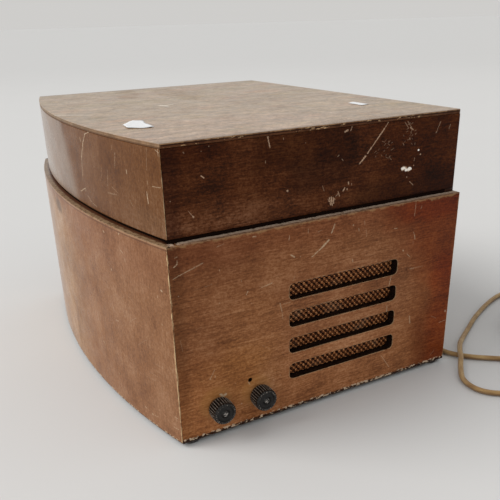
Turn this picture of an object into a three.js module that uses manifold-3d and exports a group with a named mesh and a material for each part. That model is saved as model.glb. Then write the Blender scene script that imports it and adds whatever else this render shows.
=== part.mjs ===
// Table record player of about 1955: mahogany-veneered cabinet with a bowed
// front, four grille slots in each side, a hinged lid and an automatic changer.
// Millimetres, +Z up. X runs to the right as seen from the bowed front, Y to
// the back. The origin is under the middle of the player, on the surface that
// it stands on. Inside this file lengths are laid out from the cabinet's own
// centre line, and the whole player is moved by SHIFT at the end.
import * as THREE from "three";
import { mergeVertices } from "three/addons/utils/BufferGeometryUtils.js";
import Module from "manifold-3d";

const wasm = await Module();
wasm.setup();

// ---------------------------------------------------------------- dimensions
const HALF_W = 235; // half the width of the base
const HALF_D = 170; // half the depth of the base at its sides
const BOW = 33; // how far the base's front stands out at its middle
const WALL = 10; // base panel thickness
const FOOT_H = 4;
const BASE_Z = 4.3; // lower edge of the base panels
const RIM_Z = 208; // upper edge of the base panels
const GAP = 0.3; // between pieces that touch

const LID_IN = 8.3; // lid side set in from the base side
const LID_HW = HALF_W - LID_IN;
const LID_FRONT = -166; // where the lid's front meets its sides
const LID_BACK = 168;
const LID_BOW = 29.4;
const LID_WALL = 9;
const LID_Z = 211.5; // lower edge of the lid
const LID_TOP_Z = 294.5; // top of the player
const LID_BOARD = 4; // top board

const SLOT_Y = [-46.4, 89.8]; // grille slots, both sides alike
const SLOT_H = 17.8;
const SLOT_Z = [49.1, 78.9, 108.7, 138.7];

const KNOB_Z = 34.5; // control spindles above the surface
const KNOB_Y = [-129, -82.7];
const KNOB_R = 12.2;
const KNOB_X = [236.5, 252.5]; // knob from its back to its face
const SMALL_HOLE = [-92.7, 53.8]; // y, z of the small hole over the knobs

const HINGE_Y = 174; // lid hinge axis
const HINGE_Z = 209.75;
const HINGE_X = 140; // hinge middles, each side
const STAY_R = 80; // quadrant stay, about the hinge axis

const BOARD_Z = [163, 172]; // motor board
const UPSTAND = 7.5; // thickness of the upstand round it
const PLATE_X = [-200, 175]; // unit plate
const PLATE_Y = [-150, 150];
const PLATE_Z = [173, 184];
const SPINDLE = [-50, -5]; // record spindle, x, y
const PLATTER_R = 127;
const RIM_R = 121.5; // inside of the turntable's rim, where the idler runs
const IDLER_R = 24;
const PULLEY_R = 6.5;
const IDLER = [-141.34, -38.25];
const PULLEY = [-121.54, -61.84];
const IDLER_PIVOT = [-100.77, -49.13];
const ARM_PIVOT = [120, 100];
const ARM_AXIS_Z = 218;
const OVERARM = [-118, 143]; // overarm shaft
const SPEED = [152, -55];
const START = [152, -112];

const SPEAKER_Y = 21.7;
const SPEAKER_Z = 92.5;

const CORD_R = 3.1;
const EXIT = [60, 24]; // x, z of the lead where it leaves the back
const COIL = [190, 405]; // middle of the stored coil of lead
const COIL_R = 34;
const PLUG = [231, 327];

const SHIFT = [-(KNOB_X[1] - HALF_W) / 2, (HALF_D + BOW - (HINGE_Y + 3.5)) / 2, 0];

// ------------------------------------------------------------------ materials
const look = (color, roughness, metalness = 0) => ({ color, roughness, metalness });
const MAHOGANY = look(0x7a3d1f, 0.45);
const MAHOGANY_DARK = look(0x4a2616, 0.45);
const MAHOGANY_TOP = look(0x7d5b45, 0.5);
const PLYWOOD = look(0xb08a5c, 0.8);
const HARDBOARD = look(0x6b4a30, 0.85);
const BAKELITE = look(0x241a17, 0.35);
const CREAM = look(0xd9cdb0, 0.45);
const STEEL = look(0x9a9c9e, 0.4, 0.8);
const BRASS = look(0xa98a4a, 0.4, 0.9);
const GREY_PAINT = look(0x6d5a4a, 0.4, 0.3);
const RUBBER = look(0x1b1b1b, 0.9);
const MESH_TAN = look(0x8a5a35, 0.7);
const PAPER = look(0x2b2724, 0.95);
const GLASS = look(0xb9c4c4, 0.1);
const FLEX = look(0xb08f52, 0.6);

// ------------------------------------------------------------- solid helpers
function clean(geometry) {
  let g = geometry.index ? geometry.toNonIndexed() : geometry.clone();
  for (const key of Object.keys(g.attributes)) if (key !== "position") g.deleteAttribute(key);
  g = mergeVertices(g, 1e-4);
  const p = g.attributes.position;
  const from = Array.from(g.index.array);
  const keep = [];
  let volume = 0;
  const a = new THREE.Vector3(), b = new THREE.Vector3(), c = new THREE.Vector3();
  for (let i = 0; i < from.length; i += 3) {
    const [i0, i1, i2] = [from[i], from[i + 1], from[i + 2]];
    if (i0 === i1 || i1 === i2 || i0 === i2) continue;
    keep.push(i0, i1, i2);
    a.fromBufferAttribute(p, i0);
    b.fromBufferAttribute(p, i1);
    c.fromBufferAttribute(p, i2);
    volume += a.dot(b.cross(c));
  }
  if (volume < 0) for (let i = 0; i < keep.length; i += 3) [keep[i], keep[i + 1]] = [keep[i + 1], keep[i]];
  g.setIndex(keep);
  return g;
}

function solid(geometry) {
  const g = clean(geometry);
  return new wasm.Manifold(
    new wasm.Mesh({
      numProp: 3,
      vertProperties: new Float32Array(g.attributes.position.array),
      triVerts: new Uint32Array(g.index.array),
    })
  );
}

function surface(manifold) {
  const mesh = manifold.getMesh();
  const g = new THREE.BufferGeometry();
  const count = mesh.vertProperties.length / mesh.numProp;
  const xyz = new Float32Array(count * 3);
  for (let i = 0; i < count; i++)
    for (let k = 0; k < 3; k++) xyz[i * 3 + k] = mesh.vertProperties[i * mesh.numProp + k];
  g.setAttribute("position", new THREE.BufferAttribute(xyz, 3));
  g.setIndex(Array.from(mesh.triVerts));
  return g;
}

const join = (...list) => surface(list.map(solid).reduce((a, b) => a.add(b)));
const cut = (body, ...tools) => surface(tools.map(solid).reduce((a, b) => a.subtract(b), solid(body)));

function box(x, y, z) {
  return new THREE.BoxGeometry(x[1] - x[0], y[1] - y[0], z[1] - z[0]).translate(
    (x[0] + x[1]) / 2, (y[0] + y[1]) / 2, (z[0] + z[1]) / 2);
}
// A round bar along an axis: "x", "y" or "z", through the point (u, v) of the
// other two axes in their usual order.
function bar(axis, r, span, u, v, sides = 16) {
  const g = new THREE.CylinderGeometry(r, r, span[1] - span[0], sides);
  const mid = (span[0] + span[1]) / 2;
  if (axis === "x") return g.rotateZ(Math.PI / 2).translate(mid, u, v);
  if (axis === "y") return g.translate(u, mid, v);
  return g.rotateX(Math.PI / 2).translate(u, v, mid);
}
// A body of revolution about Z from [radius, height] pairs.
function turned(profile, sides = 24) {
  const points = profile.map(([r, z]) => new THREE.Vector2(r, z));
  if (profile[0][0] > 0) points.push(points[0].clone());
  return clean(new THREE.LatheGeometry(points, sides).rotateX(Math.PI / 2));
}
function plate(outline, z, holes = []) {
  const shape = new THREE.Shape(outline.map(([x, y]) => new THREE.Vector2(x, y)));
  for (const h of holes) shape.holes.push(new THREE.Path(h.map(([x, y]) => new THREE.Vector2(x, y))));
  return new THREE.ExtrudeGeometry(shape, { depth: z[1] - z[0], bevelEnabled: false, steps: 1 }).translate(0, 0, z[0]);
}
function rounded(x, y, r, n = 4) {
  const out = [];
  for (const [cx, cy, a0] of [[x[1] - r, y[0] + r, -90], [x[1] - r, y[1] - r, 0], [x[0] + r, y[1] - r, 90], [x[0] + r, y[0] + r, 180]])
    for (let i = 0; i <= n; i++) {
      const a = ((a0 + (90 * i) / n) * Math.PI) / 180;
      out.push([cx + r * Math.cos(a), cy + r * Math.sin(a)]);
    }
  return out;
}
const circle = (cx, cy, r, n = 16) =>
  Array.from({ length: n }, (_, i) => [cx + r * Math.cos((2 * Math.PI * i) / n), cy + r * Math.sin((2 * Math.PI * i) / n)]);

// The bowed front as an arc through its two ends and the middle of the bow.
function bow(halfWidth, yEnd, depth) {
  const radius = (halfWidth ** 2 + depth ** 2) / (2 * depth);
  const yc = yEnd + Math.sqrt(radius ** 2 - halfWidth ** 2);
  return { radius, yc };
}
function bowLine({ radius, yc }, inset, halfWidth, n) {
  const r = radius - inset;
  const a = Math.asin(halfWidth / r);
  return Array.from({ length: n + 1 }, (_, i) => {
    const t = -a + (2 * a * i) / n;
    return [r * Math.sin(t), yc - r * Math.cos(t)];
  });
}
const BASE_BOW = bow(HALF_W, -HALF_D, BOW);
const LID_ARC = bow(LID_HW, LID_FRONT, LID_BOW);
// The bowed fronts are mitred to the sides, so no end grain shows at the corners.
function bowedPanel(arc, thickness, halfWidth, z, n = 20) {
  return plate([...bowLine(arc, 0, halfWidth, n), ...bowLine(arc, thickness, halfWidth - thickness, n).reverse()], z);
}
function mitreWedge(arc, thickness, halfWidth, sign) {
  const outer = [halfWidth, arc.yc - Math.sqrt(arc.radius ** 2 - halfWidth ** 2) + 0.45];
  const inX = halfWidth - thickness;
  const inner = [inX, arc.yc - Math.sqrt((arc.radius - thickness) ** 2 - inX ** 2) + 0.45];
  const k = (inner[1] - outer[1]) / thickness;
  const outline = [[outer[0] + 2, outer[1] - 2 * k], [inner[0] - 2, inner[1] + 2 * k], [inner[0] - 2, -230], [outer[0] + 2, -230]];
  return plate(outline.map(([x, y]) => [sign * x, y]), [-10, 310]);
}

// ---------------------------------------------------------------- scene graph
const player = new THREE.Group();
const groups = {};
for (const name of ["cabinet", "lid", "loudspeakers", "amplifier", "controls", "deck", "pickup", "mains_lead"]) {
  groups[name] = new THREE.Group();
  groups[name].name = name + "_group";
  player.add(groups[name]);
}
function add(group, name, geometry, finish, axis = null) {
  const g = clean(geometry);
  g.computeBoundingBox();
  const at = g.boundingBox.getCenter(new THREE.Vector3());
  if (axis) at.set(...axis);
  g.translate(-at.x, -at.y, -at.z);
  g.computeVertexNormals();
  const mesh = new THREE.Mesh(g, new THREE.MeshStandardMaterial(finish));
  mesh.name = name;
  mesh.position.copy(at);
  groups[group].add(mesh);
  return mesh;
}

// -------------------------------------------------------------------- cabinet
add("cabinet", "base_front_panel", bowedPanel(BASE_BOW, WALL, HALF_W, [BASE_Z, RIM_Z]), MAHOGANY);

function slotOutline() {
  const r = 5;
  return (z) => rounded(SLOT_Y, [z - SLOT_H / 2, z + SLOT_H / 2], r, 3);
}
function basePanelSide(sign) {
  // drawn in the YZ plane and turned up into place
  const holes = SLOT_Z.map(slotOutline());
  if (sign > 0) {
    for (const y of KNOB_Y) holes.push(circle(y, KNOB_Z, 5.5, 12));
    holes.push(circle(...SMALL_HOLE, 2.5, 10));
  }
  const outline = [[-HALF_D - 2, BASE_Z], [HALF_D, BASE_Z], [HALF_D, RIM_Z], [-HALF_D - 2, RIM_Z]];
  const g = plate(outline, [0, WALL], holes); // local x = Y, y = Z, z = thickness
  g.applyMatrix4(new THREE.Matrix4().set(0, 0, 1, 0, 1, 0, 0, 0, 0, 1, 0, 0, 0, 0, 0, 1));
  return cut(g.translate(sign > 0 ? HALF_W - WALL : -HALF_W, 0, 0), mitreWedge(BASE_BOW, WALL, HALF_W, sign));
}
add("cabinet", "base_left_side", basePanelSide(-1), MAHOGANY);
add("cabinet", "base_right_side", basePanelSide(1), MAHOGANY);

const innerW = HALF_W - WALL - GAP;
// The back rail closes the gap under the lid, and is cut down for the hinge leaves.
add("cabinet", "base_back_rail",
  cut(box([-innerW, innerW], [158, HALF_D], [168, LID_Z - GAP]),
    ...[-1, 1].map((s) => box([s * HINGE_X - 33, s * HINGE_X + 33], [150, 180], [RIM_Z, 220]))), MAHOGANY);
const boardFront = bowLine(BASE_BOW, WALL + GAP, innerW, 18);
add("cabinet", "bottom_board",
  plate([...boardFront, [innerW, 169.7], [-innerW, 169.7]], [BASE_Z, 13.3]), PLYWOOD);

// Hardboard back with two rows of vents and the hole for the lead.
const vents = [];
for (const z of [118, 140]) for (let i = -3; i <= 3; i++) vents.push(rounded([i * 52 - 18, i * 52 + 18], [z - 4, z + 4], 3.5, 1));
vents.push(circle(EXIT[0], EXIT[1], 6.5, 14));
{
  const g = plate([[-innerW, 13.6], [innerW, 13.6], [innerW, 167.7], [-innerW, 167.7]], [0, 3], vents);
  g.rotateX(Math.PI / 2); // local y up, local z towards -Y
  add("cabinet", "back_panel", g.translate(0, 169.7, 0), HARDBOARD);
}

// Motor board: carries the unit plate on springs round a large opening. The
// upstand glued round it stands a little over the rim, and the lid's walls
// rest on it. It is notched at the left for the lid stay.
const boardHole = rounded([-184, 160], [-134, 134], 12, 3);
const upstandHole = [...bowLine(BASE_BOW, WALL + GAP + UPSTAND, innerW - UPSTAND, 18), [innerW - UPSTAND, 150.7], [-innerW + UPSTAND, 150.7]];
const boardOutline = [...boardFront, [innerW, 157.7], [-innerW, 157.7]];
add("cabinet", "motor_board",
  cut(join(plate(boardOutline, BOARD_Z, [boardHole]), plate(boardOutline, [BOARD_Z[1] - 2, LID_Z - GAP], [upstandHole])),
    box([-230, -210.5], [82, 122], [150, 220]), bar("z", 6, [150, 180], ...OVERARM, 12)), PLYWOOD);

for (const [name, x, y] of [["foot_front_left", -223.5, -157], ["foot_front_right", 223.5, -157],
  ["foot_back_left", -223.5, 157], ["foot_back_right", 223.5, 157]])
  add("cabinet", name, bar("z", 10.5, [0, FOOT_H], x, y, 18), RUBBER);

// ------------------------------------------------------------------------ lid
add("lid", "lid_front_panel", bowedPanel(LID_ARC, LID_WALL, LID_HW, [LID_Z, LID_TOP_Z - LID_BOARD - GAP]), MAHOGANY_DARK);
const lidWallZ = [LID_Z, LID_TOP_Z - LID_BOARD - GAP];
add("lid", "lid_left_side", cut(box([-LID_HW, -LID_HW + LID_WALL], [LID_FRONT - 2, LID_BACK], lidWallZ),
  mitreWedge(LID_ARC, LID_WALL, LID_HW, -1)), MAHOGANY_DARK);
add("lid", "lid_right_side", cut(box([LID_HW - LID_WALL, LID_HW], [LID_FRONT - 2, LID_BACK], lidWallZ),
  mitreWedge(LID_ARC, LID_WALL, LID_HW, 1)), MAHOGANY_DARK);
const lidInner = LID_HW - LID_WALL - GAP;
add("lid", "lid_back_panel", box([-lidInner, lidInner], [LID_BACK - LID_WALL, LID_BACK], lidWallZ), MAHOGANY_DARK);
add("lid", "lid_top_panel",
  plate([...bowLine(LID_ARC, 0, LID_HW, 20), [LID_HW, LID_BACK], [-LID_HW, LID_BACK]],
    [LID_TOP_Z - LID_BOARD, LID_TOP_Z]), MAHOGANY_TOP);

// Butt hinges: leaves lie in the gap between rim and lid, knuckles behind it.
for (const [side, cx] of [["left", -HINGE_X], ["right", HINGE_X]]) {
  const x = [cx - 30, cx + 30];
  const baseZ = [208.3, 209.5], lidZ = [210, 211.2];
  const bore = () => bar("x", 2.1, [x[0] - 2, x[1] + 2], HINGE_Y, HINGE_Z, 16);
  const knuckle = (a, b) => bar("x", 3.5, [a, b], HINGE_Y, HINGE_Z, 16);
  const base = [[x[0], cx - 10.2], [cx + 10.2, x[1]]];
  const leafA = surface([box(x, [160.5, 169.9], baseZ),
    ...base.map(([a, b]) => box([a, b], [169, 172], baseZ)),
    ...base.map(([a, b]) => knuckle(a, b))].map(solid).reduce((p, q) => p.add(q)).subtract(solid(bore())));
  add("cabinet", side + "_hinge_base_leaf", leafA, BRASS);
  const mid = [cx - 9.8, cx + 9.8];
  const leafB = surface([box(x, [160.5, 169.9], lidZ), box(mid, [169, 172], lidZ), knuckle(...mid)]
    .map(solid).reduce((p, q) => p.add(q)).subtract(solid(bore())));
  add("lid", side + "_hinge_lid_leaf", leafB, BRASS);
  add("cabinet", side + "_hinge_pin", bar("x", 1.75, [x[0] - 0.6, x[1] + 0.6], HINGE_Y, HINGE_Z, 14), STEEL);
}

// Quadrant stay: an arc about the hinge axis, fixed to the lid's left side. It
// runs through a guide on the base, and the peg at its end stops the lid.
const onStay = (deg, r = STAY_R) => [HINGE_Y - r * Math.cos((deg * Math.PI) / 180), HINGE_Z - r * Math.sin((deg * Math.PI) / 180)];
function stayStrip(r0, r1, from, to, x, n) {
  const outline = [];
  for (let i = 0; i <= n; i++) outline.push(onStay(from + ((to - from) * i) / n, r1));
  for (let i = n; i >= 0; i--) outline.push(onStay(from + ((to - from) * i) / n, r0));
  const g = plate(outline, [0, x[1] - x[0]]);
  g.applyMatrix4(new THREE.Matrix4().set(0, 0, 1, 0, 1, 0, 0, 0, 0, 1, 0, 0, 0, 0, 0, 1));
  return g.translate(x[0], 0, 0);
}
const peg = onStay(78);
add("lid", "lid_stay_quadrant", join(
  stayStrip(76, 84, -16, 80, [-216.4, -213.9], 22),
  box([-217.4, -213.9], [84, 106], [215, 242]),
  bar("x", 2.5, [-219.4, -211.4], peg[0], peg[1], 12)), BRASS);
add("cabinet", "lid_stay_guide", cut(box([-224.7, -211.2], [85, 104], [195.5, 206.6]),
  stayStrip(75.3, 84.7, -6, 24, [-217.1, -213.2], 10)), BRASS);

// --------------------------------------------------------------- loudspeakers
// Oval loudspeaker: turned about its axis, then stretched along Y towards the
// rim, while the magnet stays round. Depth d runs inward from the grille.
function oval(profile, sides) {
  const g = turned(profile, sides);
  const p = g.attributes.position;
  for (let i = 0; i < p.count; i++) {
    const x = p.getX(i), y = p.getY(i), d = p.getZ(i);
    const r = Math.hypot(x, y);
    const k = 1 + 0.417 * Math.min(1, Math.max(0, (r - 27) / 30));
    // local x becomes Y, local y becomes Z, depth becomes -X
    p.setXYZ(i, -d, x * k, y);
  }
  return clean(g);
}
const basketProfile = [[0, 56], [26, 56], [26, 36.5], [57, 1.5], [63.5, 1.5], [63.5, 0], [54.3, 0], [54.3, 1.2], [24.5, 35.3], [0, 35.3]];
const coneProfile = [[0, 22], [13, 26], [50, 1.6], [54, 0.5], [54, 1.3], [50.5, 2.7], [13.5, 27.2], [0, 27.2]];
for (const [side, sign] of [["left", -1], ["right", 1]]) {
  const place = (g) => (sign > 0 ? g : clean(g.scale(-1, 1, 1))).translate(sign * 223.2, SPEAKER_Y, SPEAKER_Z);
  add("loudspeakers", side + "_speaker_basket", place(oval(basketProfile, 24)), STEEL);
  add("loudspeakers", side + "_speaker_cone", place(oval(coneProfile, 24)), PAPER);
  const x = sign > 0 ? [223.5, 224.7] : [-224.7, -223.5];
  add("loudspeakers", side + "_grille_mesh", box(x, [-62, 105], [31, 154]), MESH_TAN);
}

// ------------------------------------------------------------------ amplifier
const CH_X = [56, 206], CH_Y = [-157, -66], CH_Z = [13.6, 52];
add("amplifier", "amplifier_chassis", cut(box(CH_X, CH_Y, CH_Z),
  box([CH_X[0] + 1.2, CH_X[1] - 1.2], [CH_Y[0] + 1.2, CH_Y[1] - 1.2], [0, CH_Z[1] - 1.2]),
  ...KNOB_Y.map((y) => bar("x", 5.2, [195, 210], y, KNOB_Z, 12))), STEEL);
add("amplifier", "mains_transformer", join(box([64, 112], [-150, -106], [52.3, 96]), box([70, 106], [-155, -101], [60, 90])), GREY_PAINT);
add("amplifier", "output_transformer", join(box([64, 98], [-94, -70], [52.3, 82]), box([69, 93], [-98, -67], [58, 76])), GREY_PAINT);
const valve = (r, h) => turned([[0, 0], [r * 0.82, 0], [r, 6], [r, h * 0.72], [r * 0.8, h * 0.88], [r * 0.28, h * 0.96], [0, h]], 16);
add("amplifier", "output_valve", valve(11, 62).translate(150, -130, 52.3), GLASS);
add("amplifier", "rectifier_valve", valve(11, 54).translate(182, -118, 52.3), GLASS);
add("amplifier", "smoothing_capacitor", turned([[0, 0], [12.5, 0], [12.5, 52], [11.5, 54], [0, 54]], 18).translate(136, -88, 52.3), STEEL);

// ------------------------------------------------------------------- controls
const potProfile = [[0, 189], [10.5, 189], [10.5, 204.4], [4.8, 204.4], [4.8, 214], [3.4, 214], [3.4, 200], [0, 200]];
const knobProfile = [[0, 201], [3, 201], [3, KNOB_X[0]], [11.4, KNOB_X[0]], [KNOB_R, 239], [KNOB_R, 250],
  [10, KNOB_X[1]], [0, KNOB_X[1]]];
// turned about Z, then laid along X
const alongX = (g) => g.rotateY(Math.PI / 2);
for (const [i, name] of [[0, "volume"], [1, "tone"]]) {
  const at = [0, KNOB_Y[i], KNOB_Z];
  const pot = add("controls", name + "_control", turned(potProfile, 18), STEEL, [0, 0, 0]);
  pot.rotation.y = Math.PI / 2;
  pot.position.set(...at);
  const knob = add("controls", name + "_knob", turned(knobProfile, 22), BAKELITE, [0, 0, 0]);
  knob.rotation.y = Math.PI / 2;
  knob.position.set(...at);
}

// ----------------------------------------------------------------------- deck
const plateShape = rounded(PLATE_X, PLATE_Y, 16, 4);
const plateInner = rounded([PLATE_X[0] + 1.6, PLATE_X[1] - 1.6], [PLATE_Y[0] + 1.6, PLATE_Y[1] - 1.6], 14.4, 4);
add("deck", "deck_plate", cut(plate(plateShape, PLATE_Z), plate(plateInner, [PLATE_Z[0] - 5, PLATE_Z[1] - 1.6]),
  bar("z", 4.3, [170, 190], ...SPINDLE, 12), bar("z", 8, [170, 190], ...PULLEY, 12),
  bar("z", 3, [170, 190], ...IDLER_PIVOT, 10), bar("z", 5.6, [170, 190], ...ARM_PIVOT, 14),
  bar("z", 4.5, [170, 190], ...OVERARM, 12), bar("z", 3.6, [170, 190], ...SPEED, 12),
  bar("z", 3.6, [170, 190], ...START, 12)), CREAM);
add("deck", "record_spindle", turned([[0, 166], [3.6, 166], [3.6, 243], [3.1, 245], [3.1, 258], [2.2, 261], [0, 262]], 14)
  .translate(SPINDLE[0], SPINDLE[1], 0), STEEL);
add("deck", "turntable", turned([[4.1, 185.2], [11, 185.2], [11, 197.5], [RIM_R, 197.5], [RIM_R, 187], [PLATTER_R, 187],
  [PLATTER_R, 200], [4.1, 200]], 56).translate(SPINDLE[0], SPINDLE[1], 0), GREY_PAINT);
add("deck", "turntable_mat", turned([[4.6, 200.3], [122.5, 200.3], [122.5, 202.8], [4.6, 202.8]], 40).translate(SPINDLE[0], SPINDLE[1], 0), RUBBER);
add("deck", "idler_wheel", turned([[2.4, 188], [6, 188], [6, 189], [IDLER_R, 189], [IDLER_R, 193],
  [6, 193], [6, 194], [2.4, 194]], 24).translate(IDLER[0], IDLER[1], 0), RUBBER);
{
  const [px, py] = IDLER_PIVOT, [ix, iy] = IDLER;
  const a = Math.atan2(iy - py, ix - px), outline = [];
  for (let i = 0; i <= 6; i++) { const t = a + Math.PI / 2 + (Math.PI * i) / 6; outline.push([px + 6 * Math.cos(t), py + 6 * Math.sin(t)]); }
  for (let i = 0; i <= 6; i++) { const t = a - Math.PI / 2 + (Math.PI * i) / 6; outline.push([ix + 6 * Math.cos(t), iy + 6 * Math.sin(t)]); }
  add("deck", "idler_arm", join(plate(outline, [185.2, 187.2]), bar("z", 2, [186, 195.6], ix, iy, 12),
    bar("z", 2.5, [176, 186], px, py, 12), bar("z", 4.5, [184.4, 188.6], px, py, 12)), STEEL);
}
add("deck", "motor", cut(join(box([PULLEY[0] - 34, PULLEY[0] + 34], [PULLEY[1] - 28, PULLEY[1] + 28], [136, 162]),
  box([PULLEY[0] - 30, PULLEY[0] - 8], [PULLEY[1] - 16, PULLEY[1] + 16], [128, 170]),
  bar("z", 11, [122, 176], PULLEY[0] + 8 - 8, PULLEY[1], 16),
  ...[[-30, -23], [30, -23], [0, 23]].map(([dx, dy]) => bar("z", 3.5, [160, 182.1], PULLEY[0] + dx, PULLEY[1] + dy, 10))),
  bar("z", 2.5, [100, 190], ...PULLEY, 12)), STEEL);
add("deck", "motor_pulley", turned([[0, 118], [2, 118], [2, 187], [PULLEY_R, 187], [PULLEY_R, 193.2],
  [3.75, 193.3], [3.75, 195.2], [2.8, 195.3], [2.8, 197], [0, 197]], 16).translate(PULLEY[0], PULLEY[1], 0), BRASS);

// Overarm: the shaft rises in the plate, and the arm turns on it.
add("deck", "overarm_shaft", turned([[0, 160], [4, 160], [4, 262], [6.5, 262], [6.5, 266.5], [4, 266.5], [4, 277], [0, 277]], 14)
  .translate(OVERARM[0], OVERARM[1], 0), STEEL);
{
  const dx = SPINDLE[0] - OVERARM[0], dy = SPINDLE[1] - OVERARM[1];
  const len = Math.hypot(dx, dy), a = Math.atan2(dy, dx);
  const outline = [];
  for (let i = 0; i <= 8; i++) { const t = Math.PI / 2 + (Math.PI * i) / 8; outline.push([9 * Math.cos(t), 9 * Math.sin(t)]); }
  outline.push([len - 26, -5.5]);
  for (let i = 0; i <= 8; i++) { const t = -Math.PI / 2 + (Math.PI * i) / 8; outline.push([len + 4 + 10 * Math.cos(t), 10 * Math.sin(t)]); }
  outline.push([len - 26, 5.5]);
  const g = cut(join(plate(outline, [267, 272]), turned([[0, 267], [9, 267], [9, 274], [8, 275], [0, 275]], 16)),
    bar("z", 4.4, [260, 280], 0, 0, 14));
  add("deck", "overarm", g.rotateZ(a).translate(OVERARM[0], OVERARM[1], 0), BAKELITE);
}
add("deck", "speed_knob", join(turned([[0, 170], [3, 170], [3, 184.6], [13, 184.6], [13, 193], [12, 194], [0, 194]], 18),
  box([-2.5, 2.5], [-12, 12], [190, 198])).translate(SPEED[0], SPEED[1], 0), BAKELITE);
add("deck", "start_lever", join(turned([[0, 170], [3, 170], [3, 184.6], [9, 184.6], [9, 191], [0, 191]], 14),
  box([-3, 3], [-30, 0], [186, 190]), turned([[0, 185.2], [5.5, 185.2], [5.5, 196], [4, 198], [0, 198]], 12).translate(0, -28, 0))
  .translate(START[0], START[1], 0), BAKELITE);

// --------------------------------------------------------------------- pickup
const [ax, ay] = ARM_PIVOT;
add("pickup", "tonearm_turret", join(
  turned([[0, 166], [5, 166], [5, 184.5], [15, 184.5], [15, 188], [9, 192], [9, 206], [0, 206]], 16).translate(ax, ay, 0),
  box([ax - 8.7, ax + 8.7], [ay - 8, ay + 8], [203, 208.5]),
  box([ax - 8.7, ax - 6], [ay - 8, ay + 8], [204, 224]), box([ax + 6, ax + 8.7], [ay - 8, ay + 8], [204, 224]),
  bar("x", 1.8, [ax - 7, ax + 7], ay, ARM_AXIS_Z, 12)), BAKELITE);
{
  const profile = [[137, 214.5], [137, 221], [134, 223.5], [112, 224], [60, 222], [-80, 222], [-100, 221], [-116, 216.5],
    [-119, 212], [-88, 212], [-80, 212], [60, 213], [112, 213]];
  const side = (w, pts) => {
    const g = plate(pts, [-w / 2, w / 2]);
    g.applyMatrix4(new THREE.Matrix4().set(0, 0, 1, 0, 1, 0, 0, 0, 0, 1, 0, 0, 0, 0, 0, 1));
    return g.translate(ax, 0, 0);
  };
  const head = [[-78, 212], [-84, 220.5], [-100, 219.5], [-114, 215.5], [-117, 212]];
  add("pickup", "tonearm", cut(join(side(11, profile), side(20, head)), bar("x", 2.2, [ax - 12, ax + 12], ay, ARM_AXIS_Z, 14)), CREAM);
}
add("pickup", "pickup_cartridge", join(box([ax - 6, ax + 6], [-112, -92], [206.6, 211.7]),
  turned([[0, 204.4], [0.5, 204.6], [1.4, 207], [0, 207]], 10).translate(ax, -105, 0)), BAKELITE);
add("pickup", "arm_rest", join(turned([[0, 184.3], [7, 184.3], [7, 186], [3.5, 188], [3.5, 208], [0, 208]], 16).translate(ax, -40, 0),
  box([ax - 9, ax + 10], [-45, -35], [206, 211.7]), box([ax + 7, ax + 10], [-45, -35], [206, 218])), STEEL);

// ----------------------------------------------------------------- mains lead
add("mains_lead", "cord_strain_relief", turned([[0, 0], [9, 0], [9, 2], [6, 2], [6, 9], [8.8, 9], [8.8, 11], [6.4, 12],
  [4.3, 34], [0, 34]], 14).rotateX(-Math.PI / 2).translate(EXIT[0], 161.8, EXIT[1]), RUBBER);
const LEAD_START_Y = 161.8 + 34 + GAP;
const FLOOR = CORD_R + 0.06;
const HUMP = 3 * CORD_R + 0.7;
const LEAD = [
  [60, LEAD_START_Y, 24], [60.4, 206, 23.2], [63.5, 218, 19.6], [71.5, 228, 13.8], [84, 233.6, 8], [99, 233.6, 4.4], [116, 229, FLOOR],
  [140, 218.5, FLOOR], [163, 206, FLOOR], [184, 194.5, FLOOR], [203, 186.6, FLOOR], [216, 184.6, FLOOR], [228, 187.2, FLOOR],
  [242, 196, FLOOR], [254, 207.5, FLOOR], [264, 220, FLOOR], [276, 234, FLOOR], [292, 243.6, FLOOR], [310, 243, FLOOR],
  [325, 232, FLOOR], [333, 214, FLOOR], [333.6, 196.2, FLOOR], [330.2, 175.5, FLOOR], [317, 158.2, FLOOR], [302.3, 152.4, FLOOR],
  [283.8, 155.5, FLOOR + 0.4], [265.4, 169.5, FLOOR + 2.6], [252, 182.8, HUMP - 1], [238.6, 194.4, HUMP], [225.5, 208, HUMP - 1], [214, 223, FLOOR + 2.8],
  [203, 239, FLOOR + 0.4], [190, 260, FLOOR], [173.5, 287, FLOOR], [159, 315, FLOOR], [146, 344, FLOOR], [137, 370, FLOOR],
  [132.8, 394, FLOOR], [135.2, 414, FLOOR], [143.5, 431, FLOOR], [157, 442.2, FLOOR],
];
const vec = (p) => new THREE.Vector3(...p);
function tube(points, r, sides, steps) {
  const path = new THREE.CatmullRomCurve3(points.map(vec), false, "centripetal");
  const shape = new THREE.Shape(circle(0, 0, r, sides).map(([x, y]) => new THREE.Vector2(x, y)));
  return new THREE.ExtrudeGeometry(shape, { steps, extrudePath: path, bevelEnabled: false });
}
add("mains_lead", "mains_cord", tube(LEAD, CORD_R, 8, 56), FLEX);
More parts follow.
